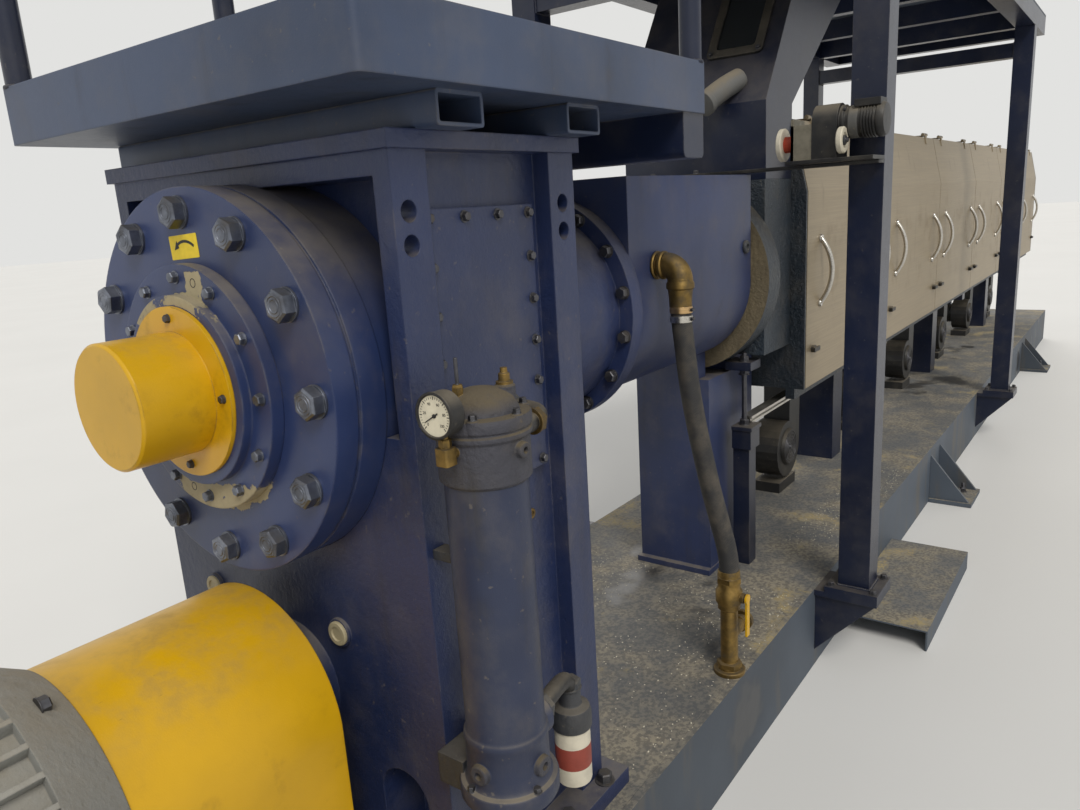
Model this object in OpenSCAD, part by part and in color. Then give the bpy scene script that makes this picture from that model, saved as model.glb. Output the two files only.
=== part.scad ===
// Plastic extruder: base frame, motor, gearbox, feed throat, covered barrel, service deck.
// Frame: +X along the screw to the discharge end, +Z up, origin on the floor under the
// middle of the feed throat. The operator's side is -Y.

/* [Base frame] */
// Height of the screw axis above the floor
screw_z = 1332; // [1300:1:1400]
// Length of the base from the feed throat back to the motor end
base_back = 3980; // [3960:10:4300]
// Width of the base over its side plates
base_w = 988; // [960:2:1060]
// Height of the base
base_h = 290; // [270:1:310]
// Thickness of the side plates
side_t = 20; // [12:1:30]
// Thickness of the deck plate
deck_t = 12; // [8:1:20]
// Width of a cross member
member_w = 100; // [80:5:140]
// Distance between cross members
member_pitch = 960; // [800:10:1000]

/* [Anchor brackets] */
// Place of the first pair of anchor brackets
bracket_first = -1890; // [-1950:10:-1800]
// Distance from one pair to the next
bracket_pitch = 3570; // [3400:10:3650]
// Reach of a foot plate from the side of the base
bracket_reach = 200; // [180:1:240]
// Height of a gusset
gusset_h = 230; // [180:1:240]
// Thickness of a gusset
gusset_t = 16; // [10:1:20]
// Distance between the two gussets of a bracket
gusset_gap = 220; // [200:1:260]
// Thickness of a foot plate
foot_t = 20; // [15:1:25]
// Diameter of an anchor hole
anchor_d = 28; // [22:1:33]
// Distance between the two anchor holes of a bracket
anchor_gap = 110; // [90:1:130]
// Start of the floor duct beside the base
duct_x = 25; // [0:5:100]
// Length of the floor duct
duct_len = 775; // [500:5:900]
// Width of the floor duct
duct_w = 306; // [200:2:320]
// Height of the floor duct
duct_h = 77; // [60:1:100]
// Sheet of the floor duct
duct_t = 6; // [4:1:10]

/* [Portals and deck] */
// Width of a square column
column_w = 100; // [80:1:110]
// Distance between the columns of a portal, centre to centre
portal_span = 1224; // [1210:2:1260]
// Place of the first portal along the base
portal_1_x = -180; // [-190:1:-170]
// Place of the second portal along the base
portal_2_x = 2985; // [2900:5:3050]
// Height of the column tops
column_top = 2450; // [2420:5:2600]
// Lower side of the tie beam between two columns
tie_z = 2290; // [2200:5:2320]
// Depth of the tie beam
tie_h = 80; // [60:1:100]
// Width of a column's base plate
plate_w = 170; // [150:1:190]
// Depth of the deck beams
beam_h = 100; // [80:1:140]
// Thickness of the deck floor plate
floor_t = 12; // [8:1:20]
// Overhang of the deck past the second portal
deck_over = 380; // [200:10:600]

/* [Motor] */
// Height of the motor shaft above the floor
motor_z = 715; // [705:1:725]
// Distance from the gearbox to the motor's flange end
motor_gap = 450; // [430:5:480]
// Radius of the motor body over its cooling ribs
motor_r = 290; // [260:5:300]
// Length of the ribbed motor body
motor_len = 1160; // [1000:10:1160]
// Radius of the end bell at its face
bell_r = 235; // [200:5:240]
// Length of an end bell
bell_len = 90; // [70:5:95]
// Length of the fan cowl
cowl_len = 210; // [150:5:220]
// Depth of a cooling rib
rib_h = 24; // [15:1:30]
// Thickness of a cooling rib
rib_t = 9; // [6:1:10]
// Number of cooling ribs around the body
rib_count = 40; // [24:2:44]

/* [Coupling guard] */
// Width of the guard, and twice the radius of its arch
guard_w = 460; // [450:2:470]
// Sheet of the guard
guard_t = 5; // [3:1:8]
// Gap between the guard and the gearbox
guard_gap = 85; // [60:1:100]
// Radius of the drive shaft
shaft_r = 55; // [45:1:60]
// Radius of the coupling hubs
hub_r = 130; // [110:1:150]

/* [Gearbox] */
// Distance from the feed throat to the rear face of the gearbox
gear_back = 1950; // [1940:1:1970]
// Length of the gearbox between its outer faces
gear_len = 485; // [470:1:500]
// Width of the gearbox over its end plates
gear_w = 794; // [780:2:810]
// Height of the gearbox end plates above the floor
gear_top = 1700; // [1690:1:1720]
// Thickness of an end plate
end_t = 80; // [60:1:90]
// Width of the gearbox between its side walls
gear_mid_w = 720; // [710:2:730]
// Depth of the pockets round the thrust housing
pocket_depth = 100; // [85:1:115]
// Lower edge of the pockets
pocket_z = 1250; // [1200:5:1300]
// Thickness of the frame round the pockets
frame_t = 37; // [30:1:45]
// Thickness of the top plate
top_t = 28; // [20:1:32]
// Height of the foot flange
foot_flange_h = 40; // [30:1:50]
// Width that the foot flange stands out
foot_flange_w = 45; // [30:1:60]
// Thickness of a side inspection cover
inspect_t = 15; // [10:1:20]
// Length of a side inspection cover
inspect_len = 296; // [280:1:310]
// Height of the inspection cover's lower edge
inspect_z = 1105; // [1000:5:1150]
// Height of the inspection cover
inspect_h = 505; // [480:5:540]
// Radius of a lifting hole
lift_r = 17; // [12:1:20]
// Radius of the round nose towards the feed section
nose_r = 262; // [240:1:265]
// Radius of the nose flange
nose_flange_r = 300; // [290:1:310]
// Thickness of the nose flange
nose_flange_t = 50; // [40:1:60]

/* [Thrust housing] */
// Radius of the thrust housing
thrust_r = 340; // [330:1:345]
// Distance that it stands out of the gearbox
thrust_proud = 105; // [90:1:115]
// Radius of the circle of large bolts
bolt_circle_r = 298; // [285:1:300]
// Number of large bolts
bolt_count = 12; // [8:1:14]
// Size of a large bolt head across its flats
bolt_af = 55; // [46:1:60]
// Height of a large bolt head
bolt_h = 35; // [25:1:38]
// Radius of the bearing cap
cap_r = 215; // [205:1:225]
// Thickness of the bearing cap
cap_t = 25; // [20:1:30]
// Radius of the raised boss on the cap
boss_r = 165; // [155:1:175]
// Height of the raised boss
boss_t = 17; // [10:1:20]

/* [Shaft guard] */
// Radius of the round shaft guard
shaft_guard_r = 105; // [95:1:115]
// Length of the round shaft guard
shaft_guard_len = 125; // [100:1:150]
// Radius of its flange
guard_flange_r = 147; // [140:1:152]
// Thickness of its flange
guard_flange_t = 8; // [5:1:10]

/* [Platform] */
// Overhang of the tray behind the gearbox
tray_over = 135; // [100:1:150]
// Length of the tray
tray_len = 945; // [930:1:955]
// Width of the tray
tray_w = 1000; // [980:2:1030]
// Height of the tray side
tray_h = 106; // [90:1:120]
// Height of the lip round the tray floor
lip_h = 20; // [15:1:30]
// Thickness of the lip
lip_t = 8; // [5:1:12]
// Width of a support tube
tube_w = 108; // [100:1:120]
// Height of a support tube
tube_h = 52; // [50:1:60]
// Wall of a support tube
tube_t = 6; // [4:1:8]
// Length of a support tube
tube_len = 908; // [880:2:940]
// Width of a platform post
post_w = 100; // [80:1:110]
// Height of the beams that join the post tops
ring_h = 100; // [80:1:120]

/* [Feed section] */
// Distance from the feed throat to the back of the feed housing
feed_back = 1035; // [1025:1:1045]
// Distance from the feed throat to the front of the feed housing
feed_front = 255; // [250:1:260]
// Half the width of the feed housing, and the radius of its round belly
feed_r = 265; // [255:1:270]
// Height of the flat top above the floor
feed_top = 1665; // [1660:1:1668]
// Radius of the flange ring
ring_r = 320; // [310:1:321]
// Thickness of the flange ring
ring_t = 100; // [90:1:110]
// Distance from the feed throat to the front of the feed casting
cast_front = 115; // [112:1:118]
// Height of the underside of the feed casting
cast_bottom = 1060; // [1050:1:1070]
// Height of the top of the feed casting
cast_top = 1650; // [1640:1:1655]
// Width of the pedestal
pedestal_w = 280; // [260:2:300]
// Distance from the feed throat to the back of the pedestal
pedestal_back = 315; // [310:1:330]
// Distance from the feed throat to the front of the pedestal
pedestal_front = 60; // [50:1:70]

/* [Adjusting post and rail] */
// Width of the adjusting post
jack_w = 60; // [50:1:70]
// Distance of the adjusting post from the screw axis
jack_y = 200; // [200:1:210]
// Height of the top of the adjusting post
jack_top = 800; // [790:1:806]
// Radius of the threaded rod
jack_rod_r = 9; // [7:1:11]
// Width of the slide rail
rail_w = 40; // [30:1:50]
// Height of the slide rail
rail_h = 25; // [20:1:30]

/* [Hopper] */
// Length of the hopper neck along the machine
neck_len = 240; // [230:2:246]
// Width of the hopper neck
neck_w = 530; // [500:2:540]
// Height where the neck ends and the chute starts to slope
neck_top = 1900; // [1880:5:1920]
// Sheet of the hopper and chute
sheet_t = 8; // [5:1:12]
// Length of the hopper at its rim
hopper_len = 1060; // [1000:10:1100]
// Width of the hopper at its rim
hopper_w = 1000; // [900:10:1100]
// Height of the sloping part of the hopper
cone_h = 430; // [350:10:500]
// Height of the straight part of the hopper
drum_h = 420; // [300:10:500]
// Thickness of the hopper lid
lid_t = 12; // [8:1:20]
// Radius of the round inlet on the lid
inlet_r = 90; // [70:1:110]

/* [Water line] */
// Radius of the brass pipe
pipe_r = 24; // [20:1:26]
// Radius of the rubber hose
hose_r = 27; // [24:1:30]

/* [Oil filter] */
// Distance of the oil filter from the screw axis
filter_y = 514; // [510:1:520]
// Radius of the filter body
filter_r = 62; // [58:1:66]
// Height of the lower end of the filter
filter_z = 550; // [520:5:600]
// Height of the top of the filter body
filter_top = 1230; // [1200:5:1240]
// Radius of the filter head
head_r = 72; // [68:1:76]
// Radius of the pressure gauge
gauge_r = 34; // [31:1:36]

/* [Barrel] */
// Radius of the barrel
barrel_r = 160; // [150:1:165]
// Radius of the barrel bore
bore_r = 100; // [90:1:105]
// Radius of the barrel flanges
flange_r = 250; // [245:1:252]
// Thickness of the feed end flange
flange_t = 50; // [40:1:60]
// Length of the discharge adaptor
adaptor_len = 200; // [180:5:220]
// Number of holes in the discharge flange
discharge_count = 8; // [6:1:10]
// Radius of a hole in the discharge flange
discharge_hole_r = 17; // [13:1:20]
// Radius of the circle of these holes
discharge_circle_r = 205; // [200:1:212]
// Outer radius of the cooling fins
fin_r = 245; // [230:1:250]
// Thickness of the heater shell under the fins
shell_t = 34; // [25:1:40]
// Distance between cooling fins
fin_pitch = 30; // [25:1:60]
// Thickness of a cooling fin
fin_t = 8; // [5:1:12]

/* [Covers] */
// Number of covers along the barrel
cover_count = 6; // [6:1:6]
// Length from one cover to the next
cover_pitch = 1130; // [1120:1:1135]
// Gap between two covers
cover_gap = 8; // [6:1:12]
// Half the width over the upright part of the covers
cover_half = 320; // [316:1:326]
// Half the width at the top edge of the covers
cover_top_half = 266; // [260:1:270]
// Height of the lower edge of the covers
cover_low = 890; // [885:1:900]
// Height of the bend in the covers
cover_knee = 1603; // [1580:1:1620]
// Height of the top edge of the covers
cover_top = 1850; // [1840:1:1860]
// Depth of the folded edge round a cover
fold_depth = 30; // [25:1:32]
// Sheet of the covers
cover_t = 4; // [3:1:6]
// Length of a pull handle
handle_len = 245; // [200:5:280]
// Distance that a handle stands out
handle_out = 45; // [38:1:55]
// Radius of the handle bar
handle_r = 9; // [7:1:11]
// Distance from a cover's edge to its handle
handle_in = 160; // [120:5:200]
// Height of the lower end of a handle
handle_z = 1190; // [1150:5:1250]
// Radius of a hinge knuckle
knuckle_r = 8; // [7:1:9]
// Radius of a hinge pin
pin_r = 4; // [3:1:5]
// Running gap round a hinge pin
pin_gap = 0.3; // [0.2:0.1:0.4]

/* [Hidden] */
$fn = 48;
eps = 1;

base_half = base_w / 2;
base_in = base_half - side_t;
cover_x0 = cast_front;
cover_x1 = cover_x0 + cover_count * cover_pitch;
base_end = cover_x1 + 5;
member_first = -floor((base_back - member_w) / member_pitch);
member_last = floor((base_end - member_w) / member_pitch);

portal_half = portal_span / 2;
column_half = column_w / 2;
column_z0 = base_h + foot_t;
outrigger_reach = portal_half + plate_w / 2 - base_half;
deck_top = column_top + beam_h + floor_t;
deck_x0 = portal_1_x - column_half - 55;
deck_x1 = portal_2_x + column_half + deck_over;
joist_w = 60;

gear_x0 = -gear_back;
gear_x1 = gear_x0 + gear_len;
gear_half = gear_w / 2;
gear_mid = gear_mid_w / 2;
gear_cap_z = gear_top + top_t;
motor_face = gear_x0 - motor_gap;
guard_x0 = motor_face;
guard_x1 = gear_x0 - guard_gap;
guard_r = guard_w / 2;
seal_t = 25;
seal_r = 120;

thrust_x = gear_x0 - thrust_proud;
cap_x = thrust_x - cap_t;
boss_x = cap_x - boss_t;
guard_flange_x = boss_x - guard_flange_t;

tray_x0 = gear_x0 - tray_over;
tray_x1 = tray_x0 + tray_len;
tray_half = tray_w / 2;
tube_z = gear_cap_z;
tray_z = tube_z + tube_h;
tray_floor = tray_z + tray_h - lip_h;
platform_top = column_top + beam_h;
tube_xs = [gear_x0 + 105, gear_x1 - 40];

feed_x0 = -feed_back;
feed_x1 = -feed_front;
ring_x1 = feed_x1 + 20 + ring_t;
pedestal_half = pedestal_w / 2;
pedestal_top = screw_z - ring_r - 12;

chute_x = [cast_front - 2 - neck_len, cast_front - 2];
chute_run = deck_top - neck_top;
chute_top_x = [chute_x[0] + chute_run * 0.667, chute_x[1] + chute_run * 1.27];
hopper_x = (chute_top_x[0] + chute_top_x[1]) / 2;
joist_mid = chute_top_x[1] + 16;
joist_step = (portal_2_x - joist_w / 2 - joist_mid) / 3;
joist_xs = [
  deck_x0, chute_top_x[0] - 165, joist_mid, joist_mid + joist_step,
  joist_mid + 2 * joist_step, joist_mid + 3 * joist_step, deck_x1 - joist_w
];
hopper_z = deck_top + 20;
hopper_rim = hopper_z + cone_h + drum_h;

hinge_y = cover_top_half - 4;
hinge_z = cover_top + 14;
roof_half = cover_top_half - 41;
seam_xs = [for (i = [0 : cover_count]) cover_x0 + i * cover_pitch];
fold_half = cover_half - fold_depth;
slope = [cover_half - cover_top_half, cover_top - cover_knee];
slope_len = norm(slope);
slope_in = slope[1] / slope_len;
slope_down = slope[0] / slope_len;
rail_half = fold_half - 5;
blower_r = 150;
blower_z = base_h + blower_r + 45;

jack_x = portal_1_x + 27;
filter_x = gear_x0 + 29;
nipple_z = filter_top + 32;
gauge_x = filter_x - head_r - 38;
gauge_z = nipple_z + 64;

// Box between pairs of corner values
module box(x, y, z) {
  translate([x[0], y[0], z[0]])
    cube([x[1] - x[0], y[1] - y[0], z[1] - z[0]]);
}

// The same piece on both sides of the screw axis
module both_sides() {
  children();
  mirror([0, 1, 0]) children();
}

// Round bar along the machine
module bar_x(x, r, y = 0, z = screw_z) {
  translate([x[0], y, z]) rotate([0, 90, 0]) cylinder(r = r, h = x[1] - x[0]);
}

// Round bar across the machine
module bar_y(y, r, x, z) {
  translate([x, y[0], z]) rotate([-90, 0, 0]) cylinder(r = r, h = y[1] - y[0]);
}

// Profile drawn as seen along the machine and drawn out along it
module along_x(x) {
  translate([x[0], 0, 0]) rotate([90, 0, 90])
    linear_extrude(height = x[1] - x[0]) children();
}

// Profile drawn as seen from the side and drawn out across the machine
module across_y(y) {
  translate([0, y[1], 0]) rotate([90, 0, 0])
    linear_extrude(height = y[1] - y[0]) children();
}

// Base frame
module base_sides() {
  color("slategray") both_sides()
    box([-base_back, base_end], [base_in, base_half], [0, base_h]);
}

module base_deck() {
  color("slategray")
    box([-base_back, base_end], [-base_in, base_in], [base_h - deck_t, base_h]);
}

module base_crossmembers() {
  color("slategray") {
    for (i = [member_first : member_last])
      box([i * member_pitch - member_w / 2, i * member_pitch + member_w / 2],
          [-base_in, base_in], [0, base_h - deck_t]);
    box([-base_back, -base_back + side_t], [-base_in, base_in], [0, base_h - deck_t]);
    box([base_end - side_t, base_end], [-base_in, base_in], [0, base_h - deck_t]);
  }
}

// Triangular plate that stands out from the side of the base
module gusset(x, reach, low, high) {
  along_x([x - gusset_t / 2, x + gusset_t / 2])
    polygon([[base_half, low], [base_half + reach, low], [base_half, high]]);
}

module anchor_bracket(x) {
  half = gusset_gap / 2 + gusset_t / 2 + 12;
  hole_y = base_half + bracket_reach * 0.65;
  difference() {
    box([x - half, x + half], [base_half, base_half + bracket_reach], [0, foot_t]);
    for (side = [-1, 1])
      translate([x + side * anchor_gap / 2, hole_y, -eps])
        cylinder(d = anchor_d, h = foot_t + 2 * eps);
  }
  for (side = [-1, 1])
    gusset(x + side * gusset_gap / 2, bracket_reach - 14, foot_t, foot_t + gusset_h);
}

module anchor_brackets(i) {
  color("slategray") both_sides() anchor_bracket(bracket_first + i * bracket_pitch);
}

module anchor_brackets_back() { anchor_brackets(0); }
module anchor_brackets_middle() { anchor_brackets(1); }
module anchor_brackets_front() { anchor_brackets(2); }

module floor_duct() {
  out = base_half + duct_w;
  color("dimgray") mirror([0, 1, 0]) {
    box([duct_x, duct_x + duct_len], [base_half, out], [duct_h - duct_t, duct_h]);
    box([duct_x, duct_x + duct_len], [out - duct_t, out], [0, duct_h - duct_t]);
    box([duct_x, duct_x + duct_len], [base_half, base_half + duct_t], [0, duct_h - duct_t]);
  }
}

// Motor and coupling
module motor_body() {
  body_r = motor_r - rib_h;
  x1 = motor_face - bell_len;
  translate([x1 - motor_len, 0, motor_z]) rotate([0, 90, 0])
    linear_extrude(height = motor_len) {
      circle(r = body_r);
      for (i = [0 : rib_count - 1])
        rotate(i * 360 / rib_count)
          translate([body_r - 5, -rib_t / 2]) square([rib_h + 5, rib_t]);
    }
}

module motor_bells() {
  x1 = motor_face - bell_len;
  x0 = x1 - motor_len;
  translate([x1, 0, motor_z]) rotate([0, 90, 0])
    cylinder(r1 = motor_r, r2 = bell_r, h = bell_len);
  bar_x([x0 - bell_len, x0], motor_r - 5, 0, motor_z);
  difference() {
    bar_x([x0 - bell_len - cowl_len, x0 - bell_len], motor_r - 20, 0, motor_z);
    for (i = [0 : 11])
      translate([x0 - bell_len - cowl_len - eps, 0, motor_z]) rotate([i * 30, 0, 0])
        translate([0, 60, -10]) cube([40, motor_r - 110, 20]);
  }
}

module motor_feet() {
  x1 = motor_face - bell_len - 60;
  x0 = x1 - motor_len + 120;
  foot_z = motor_z - motor_r * 0.78;
  both_sides() difference() {
    box([x0, x1], [150, 330], [base_h, foot_z]);
    bar_x([x0 - eps, x1 + eps], motor_r + 0.5, 0, motor_z);
  }
}

module motor() {
  box_x = motor_face - bell_len - motor_len / 2;
  color("lightgray") {
    motor_body();
    motor_bells();
    motor_feet();
    difference() {
      box([box_x - 190, box_x + 190], [120, motor_r + 150], [motor_z + 60, motor_z + 330]);
      bar_x([box_x - 200, box_x + 200], motor_r + 0.5, 0, motor_z);
    }
  }
}

module drive_coupling() {
  mid = (guard_x0 + guard_x1) / 2;
  color("gray") {
    bar_x([motor_face, gear_x0 - seal_t], shaft_r, 0, motor_z);
    bar_x([mid - 95, mid - 8], hub_r, 0, motor_z);
    bar_x([mid + 8, mid + 95], hub_r, 0, motor_z);
  }
}

// Arch outline of the coupling guard
module guard_outline(inset) {
  translate([0, motor_z]) circle(r = guard_r - inset);
  translate([-guard_r + inset, base_h]) square([guard_w - 2 * inset, motor_z - base_h]);
}

module coupling_guard() {
  color("gold") {
    difference() {
      along_x([guard_x0, guard_x1]) guard_outline(0);
      along_x([guard_x0 + guard_t, guard_x1 - guard_t]) guard_outline(guard_t);
      bar_x([guard_x0 - eps, guard_x1 + eps], shaft_r + 10, 0, motor_z);
    }
  }
}

// Gearbox
module pocket_cut() {
  in = gear_half - frame_t;
  box([gear_x0 - eps, gear_x0 + pocket_depth], [-in, in], [pocket_z, gear_top - frame_t]);
  bar_x([gear_x0 - eps, gear_x0 + pocket_depth], thrust_r);
}

module foot_arch(y) {
  arch_r = 60;
  arch_top = base_h + 310;
  along_x([gear_x0 - 50, gear_x0 + pocket_depth]) {
    translate([y, arch_top - arch_r]) circle(r = arch_r);
    translate([y - arch_r, base_h - eps]) square([2 * arch_r, arch_top - arch_r - base_h + eps]);
  }
}

module lifting_holes(x) {
  for (drop = [92, 144])
    bar_y([gear_half - 60, gear_half + eps], lift_r, x, gear_top - drop);
}

module gearbox_housing() {
  color("midnightblue") {
    difference() {
      union() {
        box([gear_x0, gear_x0 + end_t], [-gear_half, gear_half], [base_h, gear_top]);
        box([gear_x1 - end_t, gear_x1], [-gear_half, gear_half], [base_h, gear_top]);
        box([gear_x0 + end_t, gear_x1 - end_t], [-gear_mid, gear_mid], [base_h, gear_top]);
        box([gear_x0 - foot_flange_w, gear_x1 + foot_flange_w],
            [-gear_half - foot_flange_w, gear_half + foot_flange_w],
            [base_h, base_h + foot_flange_h]);
        box([gear_x0 - 10, gear_x1 + 10], [-gear_half - 10, gear_half + 10],
            [gear_top, gear_cap_z]);
        bar_x([gear_x0 - seal_t, gear_x0], seal_r, 0, motor_z);
      }
      pocket_cut();
      both_sides() foot_arch(gear_half - 120);
      both_sides() lifting_holes(gear_x0 + 33);
      both_sides() lifting_holes(gear_x1 - end_t / 2);
    }
    bar_x([gear_x1, feed_x0 - nose_flange_t], nose_r);
    bar_x([feed_x0 - nose_flange_t, feed_x0], nose_flange_r);
    bar_x([gear_x0 - 7, gear_x0], 28, -149, 850);
    bar_x([gear_x0 - 7, gear_x0], 28, 254, 850);
  }
}

module gearbox_side_covers() {
  x0 = gear_x0 + end_t;
  color("midnightblue") both_sides()
    box([x0, x0 + inspect_len], [gear_mid, gear_mid + inspect_t],
        [inspect_z, inspect_z + inspect_h]);
}

module thrust_housing() {
  groove = 4;
  color("midnightblue") {
    bar_x([thrust_x, thrust_x + 45], thrust_r);
    bar_x([thrust_x + 45, thrust_x + 51], thrust_r - groove);
    bar_x([thrust_x + 51, gear_x0], thrust_r);
    bar_x([gear_x0, gear_x0 + pocket_depth], thrust_r - 2);
  }
}

module thrust_bolts() {
  color("darkslategray")
    for (i = [0 : bolt_count - 1])
      translate([thrust_x, 0, screw_z]) rotate([i * 360 / bolt_count, 0, 0])
        translate([0, bolt_circle_r, 0]) rotate([0, -90, 0]) {
          cylinder(r = bolt_af * 0.64, h = 6, $fn = 32);
          translate([0, 0, 6]) cylinder(d = bolt_af / cos(30), h = bolt_h - 6, $fn = 6);
        }
}

module bearing_cap() {
  color("midnightblue") {
    bar_x([cap_x, thrust_x], cap_r);
    bar_x([boss_x, cap_x], boss_r);
  }
}

module shaft_guard() {
  color("gold") {
    bar_x([guard_flange_x, boss_x], guard_flange_r);
    bar_x([guard_flange_x - shaft_guard_len + 4, guard_flange_x], shaft_guard_r);
    translate([guard_flange_x - shaft_guard_len, 0, screw_z]) rotate([0, 90, 0])
      cylinder(r1 = shaft_guard_r - 4, r2 = shaft_guard_r, h = 4);
  }
}

// Platform over the gearbox
module platform_tray() {
  color("steelblue") {
    difference() {
      box([tray_x0, tray_x1], [-tray_half, tray_half], [tray_z, tray_z + tray_h]);
      box([tray_x0 + lip_t, tray_x1 - lip_t], [-tray_half + lip_t, tray_half - lip_t],
          [tray_floor, tray_z + tray_h + eps]);
    }
    for (x = tube_xs)
      difference() {
        box([x - tube_w / 2, x + tube_w / 2], [-tube_len / 2, tube_len / 2], [tube_z, tray_z]);
        box([x - tube_w / 2 + tube_t, x + tube_w / 2 - tube_t],
            [-tube_len / 2 - eps, tube_len / 2 + eps], [tube_z + tube_t, tray_z - tube_t]);
      }
  }
}

module platform_frame() {
  post_y = [tray_half - lip_t - post_w, tray_half - lip_t];
  post_xs = [tray_x0 + lip_t, tray_x1 - lip_t - post_w];
  ring_z = [platform_top - ring_h, platform_top];
  color("midnightblue") {
    both_sides() {
      for (x = post_xs)
        box([x, x + post_w], post_y, [tray_floor, ring_z[0]]);
      box([post_xs[0], post_xs[1] + post_w], post_y, ring_z);
    }
    for (x = post_xs)
      box([x, x + post_w], [-post_y[0], post_y[0]], ring_z);
  }
}

// Feed section
module feed_outline() {
  translate([0, screw_z]) circle(r = feed_r);
  translate([-feed_r, screw_z]) square([2 * feed_r, feed_top - screw_z]);
}

module feed_housing() {
  color("darkslateblue") {
    along_x([feed_x0, feed_x1]) feed_outline();
    bar_x([feed_x1, feed_x1 + 20], feed_r - 25);
  }
}

module feed_casting() {
  color("darkslategray") {
    bar_x([feed_x1 + 20, ring_x1], ring_r);
    box([ring_x1, cast_front], [-feed_r, feed_r], [cast_bottom, cast_top]);
  }
}

module feed_pedestal() {
  color("royalblue") {
    box([-pedestal_back - 25, pedestal_front + 25],
        [-pedestal_half - 5, pedestal_half + 5], [base_h, base_h + 20]);
    box([-pedestal_back, pedestal_front], [-pedestal_half, pedestal_half],
        [base_h + 20, pedestal_top]);
    box([ring_x1 + 10, pedestal_front], [-pedestal_half, pedestal_half],
        [pedestal_top, cast_bottom]);
    difference() {
      box([-pedestal_back, feed_x1], [-100, 100], [pedestal_top, screw_z - feed_r + 40]);
      bar_x([-pedestal_back - eps, feed_x1 + eps], feed_r + 0.3);
    }
  }
}

module adjusting_post() {
  y0 = -jack_y - jack_w / 2;
  y1 = -jack_y + jack_w / 2;
  arm_z = pedestal_top + 26;
  rod_top = jack_top + 270;
  color("midnightblue") {
    box([jack_x - jack_w / 2, jack_x + jack_w / 2], [y0, y1], [base_h, jack_top]);
    box([jack_x - jack_w / 2 - 15, jack_x + jack_w / 2 + 15], [y0 - 15, y1],
        [jack_top, jack_top + 12]);
    difference() {
      box([jack_x - 25, ring_x1 + 45], [y0 - 4, -pedestal_half], [arm_z, arm_z + 14]);
      translate([jack_x, -jack_y, arm_z - eps]) cylinder(r = jack_rod_r, h = 16);
    }
  }
  color("silver") {
    translate([jack_x, -jack_y, jack_top + 12]) cylinder(r = jack_rod_r, h = rod_top - jack_top - 12);
    for (z = [jack_top + 12, arm_z - 16, arm_z + 14])
      translate([jack_x, -jack_y, z]) cylinder(r = jack_rod_r * 1.9, h = 16, $fn = 6);
  }
}

module slide_rail() {
  x0 = jack_x + jack_rod_r * 1.9 + 3;
  x1 = seam_xs[1] - 70;
  y = [-jack_y - rail_w / 2, -jack_y + rail_w / 2];
  color("silver") difference() {
    box([x0, x1], y, [jack_top + 12, jack_top + 12 + rail_h]);
    box([x0 - eps, x1 + eps], [y[0] - eps, y[0] + 6], [jack_top + 20, jack_top + 28]);
    box([x0 - eps, x1 + eps], [y[1] - 6, y[1] + eps], [jack_top + 20, jack_top + 28]);
  }
}

// Hopper
module chute_outline(inset) {
  polygon([
    [chute_x[0] + inset, cast_top], [chute_x[1] - inset, cast_top],
    [chute_x[1] - inset, neck_top], [chute_top_x[1] - inset * 1.5, hopper_z - 20],
    [chute_top_x[1] - inset * 1.5, hopper_z], [chute_top_x[0] + inset * 1.2, hopper_z],
    [chute_top_x[0] + inset * 1.2, hopper_z - 20], [chute_x[0] + inset, neck_top]
  ]);
}

module chute() {
  in = neck_w / 2 - sheet_t;
  color("midnightblue") {
    difference() {
      union() {
        across_y([-neck_w / 2, neck_w / 2]) chute_outline(0);
        box([chute_top_x[0] - 60, chute_top_x[1] + 60],
            [-neck_w / 2 - 60, neck_w / 2 + 60], [hopper_z - 20, hopper_z]);
      }
      translate([0, 0, eps]) across_y([-in, in]) chute_outline(sheet_t);
      intersection() {
        across_y([-in, in]) chute_outline(sheet_t);
        box([-1000, 2000], [-in, in], [cast_top + sheet_t, hopper_z + eps]);
      }
    }
  }
}

module hopper_shape(inset) {
  low_len = chute_top_x[1] - chute_top_x[0] - 2 * inset;
  translate([hopper_x, 0, hopper_z]) {
    hull() {
      translate([-low_len / 2, -neck_w / 2 + inset, 0])
        cube([low_len, neck_w - 2 * inset, 1]);
      translate([-hopper_len / 2 + inset, -hopper_w / 2 + inset, cone_h])
        cube([hopper_len - 2 * inset, hopper_w - 2 * inset, 1]);
    }
    translate([-hopper_len / 2 + inset, -hopper_w / 2 + inset, cone_h])
      cube([hopper_len - 2 * inset, hopper_w - 2 * inset, drum_h]);
  }
}

module hopper() {
  color("steelblue") difference() {
    hopper_shape(0);
    translate([0, 0, eps]) hopper_shape(sheet_t);
    translate([0, 0, -eps]) hopper_shape(sheet_t);
  }
}

module hopper_lid() {
  over = 20;
  color("steelblue") translate([hopper_x, 0, hopper_rim]) {
    translate([-hopper_len / 2 - over, -hopper_w / 2 - over, 0])
      cube([hopper_len + 2 * over, hopper_w + 2 * over, lid_t]);
    translate([0, 0, lid_t]) cylinder(r = inlet_r, h = 90);
    translate([0, 0, lid_t + 90]) cylinder(r = inlet_r + 35, h = 14);
  }
}

// Water line
elbow_x = -895;
elbow_z = screw_z + 105;
elbow_y = -feed_r - 69;
hose_top = elbow_z - 77;
hose_low = 600;
valve_y = -452;
valve_x = -870;
valve_z = base_h + 235;
lever_y = valve_y - pipe_r - 26;

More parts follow.
